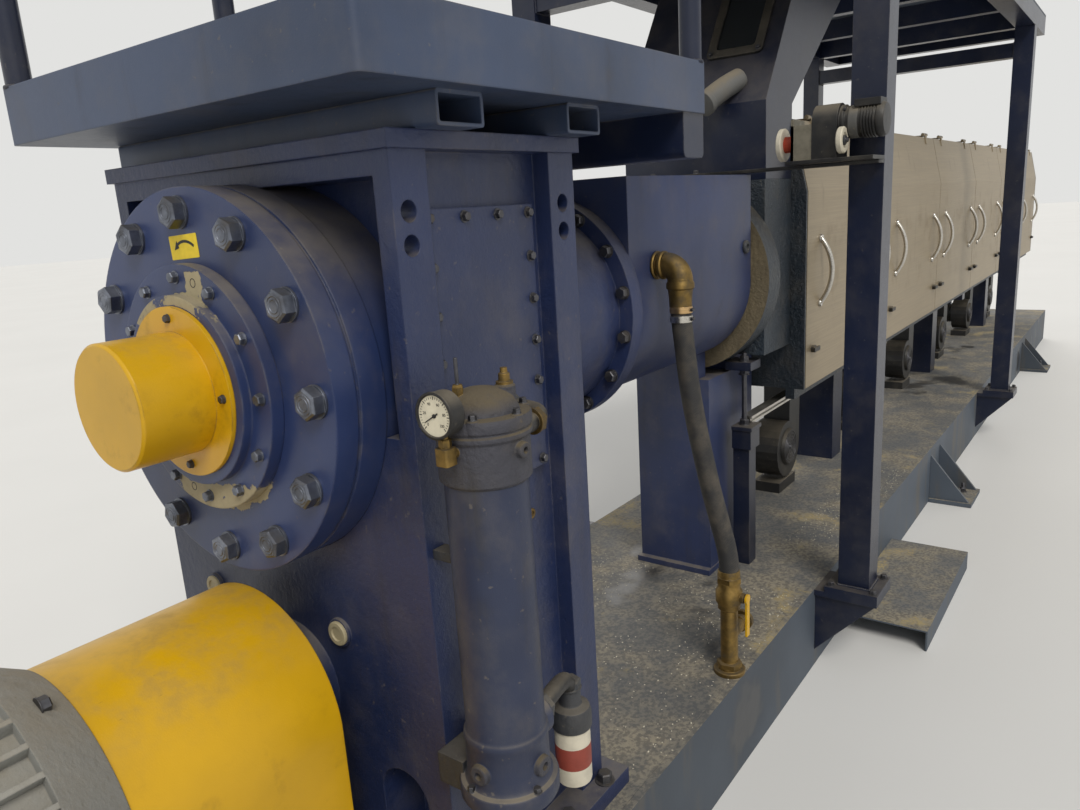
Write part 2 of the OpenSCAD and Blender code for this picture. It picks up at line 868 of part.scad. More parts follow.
module water_fittings() {
  bend_r = 40;
  color("goldenrod") {
    bar_y([elbow_y + bend_r, -feed_r], pipe_r, elbow_x, elbow_z);
    bar_y([-feed_r - 20, -feed_r], pipe_r + 8, elbow_x, elbow_z);
    translate([elbow_x, elbow_y + bend_r, elbow_z - bend_r]) rotate([0, 0, -90])
      rotate([90, 0, 0]) rotate_extrude(angle = 90) translate([bend_r, 0]) circle(r = pipe_r + 4);
    translate([elbow_x, elbow_y, hose_top]) cylinder(r = pipe_r + 3, h = elbow_z - bend_r - hose_top);
    translate([valve_x, valve_y, base_h]) cylinder(r = pipe_r + 20, h = 12);
    translate([valve_x, valve_y, base_h + 12]) cylinder(r = pipe_r, h = hose_low - base_h - 12);
    translate([valve_x, valve_y, valve_z - 35]) cylinder(r = pipe_r + 10, h = 70, $fn = 8);
    bar_y([lever_y, valve_y], 9, valve_x, valve_z);
    bar_x([valve_x, valve_x + 90], pipe_r - 4, valve_y, valve_z - 120);
    bar_x([valve_x + 90, valve_x + 104], pipe_r + 6, valve_y, valve_z - 120);
  }
}

// Centre line of the hose between its two fittings
hose_route = [
  [-895, -334, 1360], [-895, -334, 1330], [-895, -336, 1290], [-894, -341, 1240],
  [-893, -347, 1180], [-892, -355, 1110], [-890, -366, 1040], [-888, -379, 970],
  [-885, -393, 900], [-882, -408, 830], [-878, -422, 770], [-875, -434, 720],
  [-872, -443, 680], [-870, -449, 645], [-870, -452, 620], [-870, -452, 600]
];

function unit(v) = v / norm(v);
function route_dir(p, i) =
  unit(p[min(i + 1, len(p) - 1)] - p[max(i - 1, 0)]);

// Tube swept along a list of points
module swept_tube(p, r, sides) {
  n = len(p);
  ring = [for (i = [0 : n - 1])
    let (d = route_dir(p, i), u = unit(cross(d, [1, 0, 0])), v = cross(d, u))
    for (k = [0 : sides - 1])
      p[i] + r * (u * cos(k * 360 / sides) + v * sin(k * 360 / sides))];
  walls = [for (i = [0 : n - 2]) for (k = [0 : sides - 1])
    [i * sides + k, i * sides + (k + 1) % sides,
     (i + 1) * sides + (k + 1) % sides, (i + 1) * sides + k]];
  first = [for (k = [0 : sides - 1]) sides - 1 - k];
  last = [for (k = [0 : sides - 1]) (n - 1) * sides + k];
  polyhedron(points = ring, faces = concat(walls, [first], [last]), convexity = 4);
}

module water_hose() {
  color("black") swept_tube(hose_route, hose_r, 12);
}

module valve_lever() {
  face_y = lever_y - pin_gap;
  color("gold") {
    bar_y([face_y - 6, face_y], 14, valve_x, valve_z);
    box([valve_x - 9, valve_x + 9], [face_y - 6, face_y], [valve_z - 110, valve_z]);
  }
}

// Oil filter on its bracket
module filter_bracket(z) {
  difference() {
    box([filter_x - 25, filter_x + 25], [-filter_y, -gear_half], [z, z + 60]);
    translate([filter_x, -filter_y, z - eps]) cylinder(r = filter_r + 0.3, h = 62);
  }
}

module oil_filter() {
  color("slategray") translate([filter_x, -filter_y, 0]) {
    translate([0, 0, filter_z]) cylinder(r = filter_r - 12, h = 20);
    translate([0, 0, filter_z + 20]) cylinder(r = filter_r, h = filter_top - filter_z - 20);
    translate([0, 0, filter_z + 90]) cylinder(r = filter_r + 22, h = 22);
    translate([0, 0, filter_z + 118]) cylinder(r = filter_r + 22, h = 22);
  }
  color("midnightblue") {
    filter_bracket(filter_z + 180);
    filter_bracket(filter_top - 120);
  }
}

module oil_filter_head() {
  head_h = 95;
  color("slategray") translate([filter_x, -filter_y, filter_top]) {
    cylinder(r = head_r + 6, h = 18);
    translate([0, 0, 18]) cylinder(r = head_r, h = head_h - 38);
    translate([0, 0, head_h - 20]) cylinder(r1 = head_r, r2 = head_r - 26, h = 20);
  }
  color("goldenrod") {
    for (x = [-22, 30])
      translate([filter_x + x, -filter_y, filter_top + head_h - 1]) cylinder(r = 11, h = 34, $fn = 6);
    bar_x([gauge_x, filter_x - head_r + 5], 9, -filter_y, nipple_z);
    box([gauge_x - 12, gauge_x + 12], [-filter_y - 12, -filter_y + 12],
        [nipple_z - 12, nipple_z + 12]);
  }
}

module pressure_gauge() {
  color("gainsboro") translate([gauge_x, -filter_y, 0]) {
    translate([0, 0, nipple_z + 12]) cylinder(r = 8, h = gauge_z - gauge_r - nipple_z);
    translate([0, 0, gauge_z]) rotate([0, 0, -135]) rotate([0, 90, 0])
      cylinder(r = gauge_r, h = 30, center = true);
  }
}

module spin_on_filter() {
  x = gear_x0 + 274;
  y = -470;
  color("white") translate([x, y, 465]) cylinder(r = 42, h = 115);
  color("darkslategray") {
    translate([x, y, 580]) cylinder(r = 46, h = 45);
    box([x - 20, x + 20], [y + 40, -gear_mid], [585, 620]);
  }
}

// Barrel and its heating and cooling
module barrel() {
  color("dimgray") {
    bar_x([cover_x0, cover_x0 + flange_t], flange_r);
    bar_x([cover_x0 + flange_t, cover_x1 + 5], barrel_r);
  }
}

module discharge_adaptor() {
  x0 = cover_x1 + 5;
  x1 = x0 + adaptor_len;
  color("dimgray") difference() {
    union() {
      bar_x([x0, x0 + 60], flange_r);
      bar_x([x0 + 60, x1 - 60], barrel_r);
      bar_x([x1 - 60, x1], flange_r);
    }
    bar_x([x0 - eps, x1 + eps], bore_r);
    for (i = [0 : discharge_count - 1])
      translate([x1 - 60 - eps, 0, screw_z]) rotate([i * 360 / discharge_count, 0, 0])
        translate([0, discharge_circle_r, 0]) rotate([0, 90, 0])
          cylinder(r = discharge_hole_r, h = 60 + 2 * eps);
  }
}

// Finned shell of one heating zone
module heater_shell(x, len) {
  in = barrel_r + 0.3;
  fins = floor((len - fin_t) / fin_pitch);
  translate([x, 0, screw_z]) rotate([0, 90, 0]) rotate_extrude($fn = 64) {
    translate([in, 0]) square([shell_t, len]);
    for (i = [0 : fins])
      translate([in + shell_t - 2, i * fin_pitch]) square([fin_r - in - shell_t + 2, fin_t]);
  }
}

module heater_shells() {
  color("darkgray")
    for (i = [0 : cover_count - 1])
      heater_shell(seam_xs[i] + 130, cover_pitch - 260);
}

// Scroll outline of a fan housing, growing with the angle
function scroll(r, grow) =
  [for (a = [0 : 15 : 360]) (r + grow * a / 360) * [cos(a), sin(a)]];

module zone_blower(x) {
  mouth = 130;
  translate([x, 0, blower_z]) {
    rotate([90, 0, 0]) translate([0, 0, -60]) linear_extrude(height = 120) {
      polygon(scroll(blower_r * 0.72, blower_r * 0.28));
      translate([blower_r - mouth, 0]) square([mouth, blower_r + 60]);
    }
    translate([0, 60, 0]) rotate([-90, 0, 0]) cylinder(r = 80, h = 150);
    translate([-100, -60, -blower_z + base_h]) cube([200, 120, 46]);
  }
}

// Duct that leads the air from a fan up to its zone
module air_duct(x) {
  low = blower_z + blower_r + 60;
  mid_x = x + blower_r - 65;
  translate([mid_x, 0, low]) difference() {
    translate([-65, -60, 0]) cube([130, 120, screw_z - fin_r - low + 25]);
    translate([0, 0, screw_z - low]) rotate([0, 90, 0]) translate([0, 0, -80])
      cylinder(r = fin_r + 0.5, h = 160);
  }
}

module zone_blowers() {
  color("darkslategray")
    for (i = [0 : cover_count - 1]) {
      zone_blower(seam_xs[i] + cover_pitch / 2);
      air_duct(seam_xs[i] + cover_pitch / 2);
    }
}

module barrel_pedestal(x) {
  half = 70;
  low = cover_low - 40;
  difference() {
    box([x - half, x + half], [-110, 110], [base_h, screw_z - 60]);
    bar_x([x - half - eps, x + half + eps], barrel_r + 0.3);
  }
  box([x - 40, x + 40], [-rail_half, -110], [low - 40, low]);
  box([x - 40, x + 40], [110, rail_half], [low - 40, low]);
  box([x - half, x - 40], [-jack_y - rail_w / 2, -110], [jack_top - 18, jack_top + 12]);
}

module barrel_pedestals() {
  color("midnightblue")
    for (i = [1 : 2 : cover_count - 1]) barrel_pedestal(seam_xs[i]);
}

// Outline of the covers, seen along the machine, set in by a distance
module cover_outline(inset) {
  bend = inset * 0.9;
  polygon([
    [-cover_half + inset, cover_low], [cover_half - inset, cover_low],
    [cover_half - inset, cover_knee - inset * slope_down],
    [cover_top_half - bend - inset * slope_down, cover_top - inset],
    [-cover_top_half + bend + inset * slope_down, cover_top - inset],
    [-cover_half + inset, cover_knee - inset * slope_down]
  ]);
}

module end_panel(x) {
  difference() {
    along_x([x, x + 10]) cover_outline(0);
    bar_x([x - eps, x + 11], flange_r + 4);
  }
}

module cover_frames() {
  rib_in = fold_depth + 8;
  low = cover_low - 40;
  color("midnightblue") {
    end_panel(cover_x0);
    end_panel(cover_x1 - 10);
    for (i = [1 : cover_count - 1])
      difference() {
        along_x([seam_xs[i] - 12, seam_xs[i] + 12]) cover_outline(rib_in);
        along_x([seam_xs[i] - 13, seam_xs[i] + 13]) translate([0, -eps]) cover_outline(rib_in + 30);
      }
    for (i = [1 : cover_count - 1])
      box([seam_xs[i] - 12, seam_xs[i] + 12], [-150, 150],
          [cover_top - rib_in - eps, cover_top - 4]);
    both_sides()
      box([cover_x0, cover_x1], [rail_half - 34, rail_half], [low, cover_low]);
  }
}

// Knuckles of a hinge: the middle one moves, the outer two hold the pin
module hinge_fixed(x) {
  both = [[x - 45, x - 16], [x + 16, x + 45]];
  for (k = both) {
    bar_x(k, knuckle_r, -hinge_y, hinge_z);
    box(k, [-hinge_y, -roof_half + 40], [hinge_z - knuckle_r, hinge_z - knuckle_r + 4]);
    box(k, [-roof_half, -roof_half + 40], [cover_top, hinge_z - knuckle_r]);
  }
  bar_x([x - 45, x + 45], pin_r, -hinge_y, hinge_z);
}

module hinge_moving(x) {
  difference() {
    union() {
      bar_x([x - 15, x + 15], knuckle_r, -hinge_y, hinge_z);
      translate([x - 15, 0, 0]) rotate([90, 0, 90]) linear_extrude(height = 30)
        polygon([[-hinge_y - knuckle_r, hinge_z], [-hinge_y - knuckle_r + 5, hinge_z],
                 [-cover_top_half + 1, cover_top - 4], [-cover_top_half - 6, cover_top - 36],
                 [-cover_top_half - 12, cover_top - 36]]);
    }
    bar_x([x - 16, x + 16], pin_r + pin_gap, -hinge_y, hinge_z);
  }
}

module cover_roof() {
  color("tan") {
    box([cover_x0 + 10, cover_x1 - 10], [-roof_half, roof_half], [cover_top - 4, cover_top]);
    for (i = [0 : cover_count - 1])
      for (x = [seam_xs[i] + 200, seam_xs[i + 1] - 200]) both_sides() hinge_fixed(x);
  }
}

// Bowed pull handle on the upright part of a cover
module pull_handle(x) {
  half = handle_len / 2;
  mid_z = handle_z + half;
  bow = (half * half + handle_out * handle_out) / (2 * handle_out);
  sweep = asin(half / bow);
  translate([x, -cover_half + bow - handle_out, mid_z]) rotate([0, 90, 0]) rotate([0, 0, 180])
    intersection() {
      rotate([0, 0, 90 - sweep * 1.1])
        rotate_extrude(angle = 2.2 * sweep, $fn = 96) translate([bow, 0]) circle(r = handle_r, $fn = 24);
      translate([-bow * 2, bow - handle_out, -50]) cube([bow * 4, bow, 100]);
    }
}

// One hinged cover: folded sheet with two handles, two latches and its hinge leaves
module cover(i) {
  x0 = seam_xs[i] + (i == 0 ? 10 + cover_gap : cover_gap / 2);
  x1 = seam_xs[i + 1] - (i == cover_count - 1 ? 10 + cover_gap : cover_gap / 2);
  fold_in = [slope_in, -slope_down] * fold_depth;
  color("tan") {
    difference() {
      along_x([x0, x1]) polygon([
        [-cover_half, cover_low], [-fold_half, cover_low],
        [-fold_half, cover_knee], [-cover_top_half + fold_in[0], cover_top + fold_in[1]],
        [-cover_top_half, cover_top], [-cover_half, cover_knee]
      ]);
      along_x([x0 + cover_t, x1 - cover_t]) polygon([
        [-cover_half + cover_t, cover_low + cover_t], [-fold_half + eps, cover_low + cover_t],
        [-fold_half + eps, cover_knee + 5],
        [-cover_top_half + fold_in[0] + 1 - slope_down * 8, cover_top + fold_in[1] - 8],
        [-cover_top_half + cover_t - slope_down * 8, cover_top - 8],
        [-cover_half + cover_t, cover_knee]
      ]);
    }
    for (x = [seam_xs[i] + 200, seam_xs[i + 1] - 200]) hinge_moving(x);
  }
  color("silver")
    for (x = [seam_xs[i] + handle_in, seam_xs[i + 1] - handle_in]) pull_handle(x);
  color("black")
    for (x = [seam_xs[i] + 85, seam_xs[i + 1] - 85]) {
      bar_y([-cover_half - 14, -cover_half], 14, x, cover_low + 140);
      box([x - 30, x + 30], [-cover_half - 22, -cover_half - 14],
          [cover_low + 132, cover_low + 148]);
    }
}

module cover_1() { cover(0); }
module cover_2() { cover(1); }
module cover_3() { cover(2); }
module cover_4() { cover(3); }
module cover_5() { cover(4); }
module cover_6() { cover(5); }

module far_covers() {
  mirror([0, 1, 0])
    for (i = [0 : cover_count - 1]) cover(i);
}

// Portals and deck
module portal(x) {
  color("midnightblue") {
    both_sides() {
      box([x - column_half, x + column_half],
          [portal_half - column_half, portal_half + column_half], [column_z0, column_top]);
      box([x - plate_w / 2, x + plate_w / 2],
          [portal_half - plate_w / 2, portal_half + plate_w / 2], [base_h, column_z0]);
      box([x - plate_w / 2, x + plate_w / 2],
          [base_half, base_half + outrigger_reach], [base_h - foot_t, base_h]);
      for (side = [-1, 1])
        gusset(x + side * 65, outrigger_reach - 5, base_h - foot_t, 60);
    }
    box([x - tie_h / 2, x + tie_h / 2],
        [-portal_half + column_half, portal_half - column_half], [tie_z, tie_z + tie_h]);
  }
}

module portal_1() { portal(portal_1_x); }
module portal_2() { portal(portal_2_x); }

module deck_beams() {
  z = [column_top, column_top + beam_h];
  in = portal_half - column_half;
  color("midnightblue") {
    both_sides() box([deck_x0, deck_x1], [in, in + column_w], z);
    for (x = joist_xs) box([x, x + joist_w], [-in, in], z);
  }
}

module deck_floor() {
  half = portal_half + column_half;
  z = [column_top + beam_h, deck_top];
  color("gray") difference() {
    box([deck_x0, deck_x1], [-half, half], z);
    box([chute_top_x[0] - 20, chute_top_x[1] + 12], [-neck_w / 2 - 12, neck_w / 2 + 12],
        [z[0] - eps, z[1] + eps]);
  }
}

// Small geared motor on a bar between the columns of the first portal
gearmotor_z = 1765;
gearmotor_x = portal_1_x - column_half - 75;

module gearmotor_bar() {
  color("midnightblue")
    box([portal_1_x - column_half - 10, portal_1_x - column_half],
        [-portal_half - column_half, portal_half + column_half], [1670, 1710]);
}

module gearmotor() {
  x1 = portal_1_x - column_half - 10;
  color("black") {
    box([gearmotor_x - 60, x1], [-690, -400], [1700, 1710]);
    box([gearmotor_x - 50, gearmotor_x + 50], [-690, -570], [1710, gearmotor_z + 65]);
    bar_y([-570, -400], 52, gearmotor_x, gearmotor_z);
  }
  color("ivory") {
    bar_y([-360, -345], 60, gearmotor_x, gearmotor_z);
    bar_y([-400, -336], 12, gearmotor_x, gearmotor_z);
  }
}

base_sides();
base_deck();
base_crossmembers();
anchor_brackets_back();
anchor_brackets_middle();
anchor_brackets_front();
floor_duct();
motor();
drive_coupling();
coupling_guard();
gearbox_housing();
gearbox_side_covers();
thrust_housing();
thrust_bolts();
bearing_cap();
shaft_guard();
platform_tray();
platform_frame();
feed_housing();
feed_casting();
feed_pedestal();
adjusting_post();
slide_rail();
chute();
hopper();
hopper_lid();
water_fittings();
water_hose();
valve_lever();
oil_filter();
oil_filter_head();
pressure_gauge();
spin_on_filter();
barrel();
discharge_adaptor();
heater_shells();
zone_blowers();
barrel_pedestals();
cover_frames();
cover_roof();
far_covers();
cover_1();
cover_2();
cover_3();
cover_4();
cover_5();
cover_6();
portal_1();
portal_2();
deck_beams();
deck_floor();
gearmotor_bar();
gearmotor();
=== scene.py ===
"""Looks of a plastic extruder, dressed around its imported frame.

Lengths are metres. +X runs along the screw to the discharge end, -Y is the operator's side,
and the floor is z = 0.
"""
from math import cos, pi, radians, sin

import bmesh
import bpy
from mathutils import Matrix, Vector


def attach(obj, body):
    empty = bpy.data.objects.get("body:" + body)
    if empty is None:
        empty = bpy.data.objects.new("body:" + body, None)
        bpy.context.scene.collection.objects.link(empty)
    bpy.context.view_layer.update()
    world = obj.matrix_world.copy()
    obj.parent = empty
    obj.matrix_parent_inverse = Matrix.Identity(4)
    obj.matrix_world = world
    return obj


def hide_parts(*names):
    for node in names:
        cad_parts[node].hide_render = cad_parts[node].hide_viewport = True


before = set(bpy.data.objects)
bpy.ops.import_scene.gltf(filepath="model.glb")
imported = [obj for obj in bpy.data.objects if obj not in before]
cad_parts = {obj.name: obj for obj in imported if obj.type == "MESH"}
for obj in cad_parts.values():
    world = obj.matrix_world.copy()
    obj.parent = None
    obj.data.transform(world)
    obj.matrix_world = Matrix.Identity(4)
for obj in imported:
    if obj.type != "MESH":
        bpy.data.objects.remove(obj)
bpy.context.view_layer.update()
scene = bpy.context.scene

SCREW_Z = 1.332
MOTOR_Z = 0.715
X, Y, Z = Vector((1, 0, 0)), Vector((0, 1, 0)), Vector((0, 0, 1))
shift = Matrix.Translation
DECK_Z = 0.290
PLATE_Z = 0.310
COLUMNS = [(x, y) for x in (-0.180, 2.985) for y in (-0.612, 0.612)]

CAMERA_AT = Vector((-2.835, -1.314, 1.600))
CAMERA_RIGHT = Vector((0.58858, -0.80622, -0.05988))
CAMERA_UP = Vector((0.22245, 0.09030, 0.97075))
CAMERA_LENS = 27.33


def set_camera():
    """Camera where the photograph was taken from."""
    data = bpy.data.cameras.new("view")
    data.sensor_width = 36.0
    data.lens = CAMERA_LENS
    data.clip_start, data.clip_end = 0.02, 200.0
    camera = bpy.data.objects.new("view", data)
    back = CAMERA_RIGHT.cross(CAMERA_UP)
    turn = Matrix((CAMERA_RIGHT, CAMERA_UP, back)).transposed().to_4x4()
    camera.matrix_world = shift(CAMERA_AT) @ turn
    scene.collection.objects.link(camera)
    scene.camera = camera


set_camera()


# Node trees
class Wire:
    """A value, colour or vector in a node tree. Operators on it add Math nodes."""

    def __init__(self, board, socket):
        self.board = board
        self.socket = socket

    def __add__(self, other):
        return self.board.maths("ADD", self, other)

    def __radd__(self, other):
        return self.board.maths("ADD", other, self)

    def __sub__(self, other):
        return self.board.maths("SUBTRACT", self, other)

    def __rsub__(self, other):
        return self.board.maths("SUBTRACT", other, self)

    def __mul__(self, other):
        return self.board.maths("MULTIPLY", self, other)

    def __rmul__(self, other):
        return self.board.maths("MULTIPLY", other, self)

    def __truediv__(self, other):
        return self.board.maths("DIVIDE", self, other)

    def above(self, low, high):
        """0 below low, 1 above high, and a smooth rise between."""
        settings = {"interpolation_type": "SMOOTHSTEP"}
        inputs = {"Value": self, "From Min": low, "From Max": high}
        return self.board.node("ShaderNodeMapRange", settings, inputs)

    def below(self, low, high):
        """1 below low, 0 above high, and a smooth fall between."""
        return 1 - self.above(low, high)


class Board:
    """Adds nodes to a tree."""

    def __init__(self, tree):
        self.tree = tree

    def node(self, kind, settings=None, inputs=None, out=0):
        """A node of that type, with its settings, then the values or links of its sockets."""
        made = self.tree.nodes.new(kind)
        for name, value in (settings or {}).items():
            setattr(made, name, value)
        for key, value in (inputs or {}).items():
            if isinstance(value, Wire):
                self.tree.links.new(value.socket, made.inputs[key])
            else:
                made.inputs[key].default_value = value
        return Wire(self, made.outputs[out]) if len(made.outputs) else made

    def maths(self, operation, first, second):
        settings = {"operation": operation}
        return self.node("ShaderNodeMath", settings, {0: first, 1: second})

    def vector_maths(self, operation, first, second, out=0):
        settings = {"operation": operation}
        return self.node("ShaderNodeVectorMath", settings, {0: first, 1: second}, out)


def srgb(red, green, blue):
    """A colour from its screen values of 0 to 255."""
    def linear(value):
        value /= 255
        return value / 12.92 if value < 0.04045 else ((value + 0.055) / 1.055) ** 2.4
    return (linear(red), linear(green), linear(blue), 1.0)


def shade(colour, share):
    """The same colour, lighter or darker."""
    return tuple(min(1.0, part * share) for part in colour[:3]) + (1.0,)


DUST = srgb(126, 117, 101)
GRIME = srgb(34, 31, 28)
BARE_STEEL = srgb(118, 112, 104)
FILLER = srgb(172, 160, 128)
TREAD_TURNS = 150.0
JACK_HOLE = Vector((0, 0.190 * sin(radians(15)), -0.190 * cos(radians(15))))


class Finish(Board):
    """A material under construction, in the coordinates of the piece it lies on."""

    def __init__(self, name):
        self.material = bpy.data.materials.new(name)
        self.material.use_nodes = True
        super().__init__(self.material.node_tree)
        self.tree.nodes.clear()
        self.place = self.node("ShaderNodeTexCoord", out="Object")
        self.facing = self.node("ShaderNodeTexCoord", out="Normal")

    def axis(self, vector, name):
        return self.node("ShaderNodeSeparateXYZ", {}, {0: vector}, out=name)

    def up(self):
        """1 where the surface looks up, 0 on a wall, -1 underneath."""
        return self.axis(self.facing, "Z")

    def stretched(self, scale):
        return self.node("ShaderNodeMapping", {}, {"Vector": self.place, "Scale": scale})

    def noise(self, scale, detail=4.0, roughness=0.55, where=None):
        inputs = {"Vector": where or self.place, "Scale": scale, "Detail": detail,
                  "Roughness": roughness}
        return self.node("ShaderNodeTexNoise", {}, inputs)

    def mix(self, share, first, second):
        settings = {"data_type": "RGBA"}
        return self.node("ShaderNodeMix", settings, {0: share, 6: first, 7: second}, out=2)

    def uneven(self, field, low, high, paint, darker, lighter):
        """A paint that goes from darker to lighter while a field goes from low to high."""
        return self.mix(field.above(low, high), shade(paint, darker), shade(paint, lighter))

    def runs(self, scale, detail=5, roughness=0.6):
        """A noise stretched along an axis, such as for runs down a wall."""
        return self.noise(1.0, detail, roughness, self.stretched(scale))

    def least(self, value, most):
        return self.maths("MINIMUM", value, most)

    def eased_normal(self, radius):
        """The surface direction with every edge rounded to a radius."""
        return self.node("ShaderNodeBevel", {"samples": 4}, {"Radius": radius})

    def edge(self, eased):
        """1 close to a sharp edge, 0 away from it."""
        flat = self.node("ShaderNodeNewGeometry", out="Normal")
        along = self.vector_maths("DOT_PRODUCT", eased, flat, out="Value")
        return (1 - along).above(0.005, 0.16)

    def bump(self, height, depth, normal=None, strength=1.0):
        inputs = {"Height": height, "Distance": depth, "Strength": strength}
        if normal:
            inputs["Normal"] = normal
        return self.node("ShaderNodeBump", {}, inputs)

    def shader(self, colour, roughness, **others):
        """The surface itself. Others are more of its sockets, such as metallic."""
        inputs = {"Base Color": colour, "Roughness": roughness}
        for name, value in others.items():
            inputs[name.replace("_", " ").title().replace("Ior", "IOR")] = value
        body = self.node("ShaderNodeBsdfPrincipled", {}, inputs)
        self.node("ShaderNodeOutputMaterial", {}, {"Surface": body})
        return self.material


# Finishes
def enamel(name, paint, dust=0.5, gloss=0.36, peel=0.00025, cast=0.0, chips=0.35, grime=0.35,
           radius=0.004, dust_colour=DUST):
    """Machine paint: uneven, dusty on top, grimy down its walls, chipped at its edges."""
    f = Finish(name)
    broad = f.noise(1.7, 5)
    patchy = f.noise(9.0, 6, 0.62)
    fine = f.noise(70.0, 3)
    eased = f.eased_normal(radius)
    colour = f.uneven(broad, 0.32, 0.68, paint, 0.78, 1.22)
    runs = f.runs((15.0, 15.0, 1.3))
    dirty = runs.above(0.5, 0.75) * patchy.above(0.3, 0.6) * grime
    colour = f.mix(dirty, colour, GRIME)
    film = patchy.above(0.42, 0.78) * 0.35 * dust
    settled = f.up().above(0.25, 0.9) * (0.45 + 0.55 * patchy.above(0.3, 0.62)) * dust
    specks = fine.above(0.66, 0.74) * 0.55 * dust
    dusty = f.least(settled * 1.25 + film + specks, 0.94)
    colour = f.mix(dusty, colour, dust_colour)
    worn = f.edge(eased) * patchy.above(0.5, 0.6) * chips
    colour = f.mix(worn, colour, BARE_STEEL)
    rough = gloss + dusty * 0.42 + dirty * 0.15 + fine * 0.08
    height = f.noise(420.0, 2) * peel + f.noise(60.0, 5, 0.65) * cast
    normal = f.bump(height, 1.0, eased)
    return f.shader(colour, rough, normal=normal, specular_ior_level=0.5)


def peeled_blue(name, paint, dust, gloss):
    """Blue of the bearing cap and thrust housing, peeled to the filler round the cap."""
    f = Finish(name)
    broad = f.noise(1.9, 5)
    patchy = f.noise(11.0, 6, 0.62)
    fine = f.noise(70.0, 3)
    ragged = f.noise(26.0, 6, 0.7)
    eased = f.eased_normal(0.005)
    colour = f.uneven(broad, 0.32, 0.68, paint, 0.82, 1.25)
    across = f.axis(f.place, "Y")
    upright = f.axis(f.place, "Z") - SCREW_Z
    along = f.axis(f.place, "X")
    reach = f.vector_maths("LENGTH", f.node("ShaderNodeCombineXYZ", {}, {1: across, 2: upright}),
                           (0.0, 0.0, 0.0), out="Value")
    front = along.below(-2.050, -2.040)
    lower = upright.below(-0.175, -0.125) * across.below(0.07, 0.12)
    low_ring = lower * reach.above(0.164, 0.178) * reach.below(0.216, 0.240)
    side = f.maths("ABSOLUTE", across + JACK_HOLE.y, 0.0)
    top_gap = upright.above(0.140, 0.160) * side.below(0.014, 0.034) * upright.below(0.198, 0.210)
    boss_top = upright.above(0.095, 0.125) * reach.above(0.146, 0.150) * reach.below(0.166, 0.172)
    bare = (low_ring + top_gap + boss_top * 0.7) * front
    peeled = (bare * 0.42 + ragged - 0.5).above(0.24, 0.29)
    colour = f.mix(peeled, colour, f.mix(fine, FILLER, shade(FILLER, 0.72)))
    settled = f.up().above(0.2, 0.9) * (0.5 + 0.5 * patchy.above(0.3, 0.6)) * dust
    film = patchy.above(0.46, 0.8) * 0.3 * dust
    specks = fine.above(0.67, 0.75) * 0.5 * dust
    dusty = f.least(settled * 1.2 + film + specks, 0.92)
    colour = f.mix(dusty, colour, DUST)
    scuffed = f.edge(eased) * patchy.above(0.48, 0.58) * 0.45
    colour = f.mix(scuffed, colour, BARE_STEEL)
    rough = gloss + dusty * 0.42 + peeled * 0.3 + fine * 0.08
    height = f.noise(420.0, 2) * 0.00022 + peeled * -0.0005
    return f.shader(colour, rough, normal=f.bump(height, 1.0, eased), specular_ior_level=0.5)


def floor_plate(name, paint, dust=1.0, tread=0.0):
    """Floor plate: paint under dust, spilt powder and oil, with raised lozenges for a tread."""
    f = Finish(name)
    broad = f.noise(0.9, 5)
    patchy = f.noise(5.0, 7, 0.65)
    fine = f.noise(95.0, 3)
    eased = f.eased_normal(0.004)
    colour = f.uneven(broad, 0.35, 0.65, paint, 0.75, 1.2)
    flat = f.up().above(0.5, 0.9)
    powder = flat * (patchy.above(0.38, 0.66) * 0.6 + 0.35) * dust
    grey_dust = f.mix(fine.above(0.4, 0.6), srgb(150, 141, 122), srgb(112, 106, 95))
    colour = f.mix(powder, colour, grey_dust)
    spilt = flat * f.noise(2.3, 7, 0.7).above(0.56, 0.63) * fine.above(0.35, 0.6)
    colour = f.mix(spilt * 0.75 * dust, colour, srgb(176, 158, 112))
    oil = f.noise(1.6, 4).below(0.34, 0.40)
    colour = f.mix(oil * 0.7, colour, srgb(28, 26, 25))
    runs = f.runs((9.0, 9.0, 1.6)).above(0.5, 0.7)
    wall = 1 - f.up().above(0.2, 0.5)
    colour = f.mix(wall * runs * 0.55, colour, srgb(96, 88, 74))
    rough = 0.62 - oil * 0.32 + powder * 0.2
    height = patchy * 0.0012 + fine * 0.0006 * powder + spilt * fine * 0.0014
    if tread:
        across, along = f.axis(f.place, "Y") * TREAD_TURNS, f.axis(f.place, "X") * TREAD_TURNS
        leaning = f.maths("SINE", across + along, 0.0) * f.maths("SINE", (across - along) * 0.33, 0.0)
        lozenge = f.maths("ABSOLUTE", leaning, 0.0).above(0.72, 0.86) * flat
        colour = f.mix(lozenge * 0.3, colour, BARE_STEEL)
        height = height + lozenge * tread
    return f.shader(colour, rough, normal=f.bump(height, 1.0, eased))


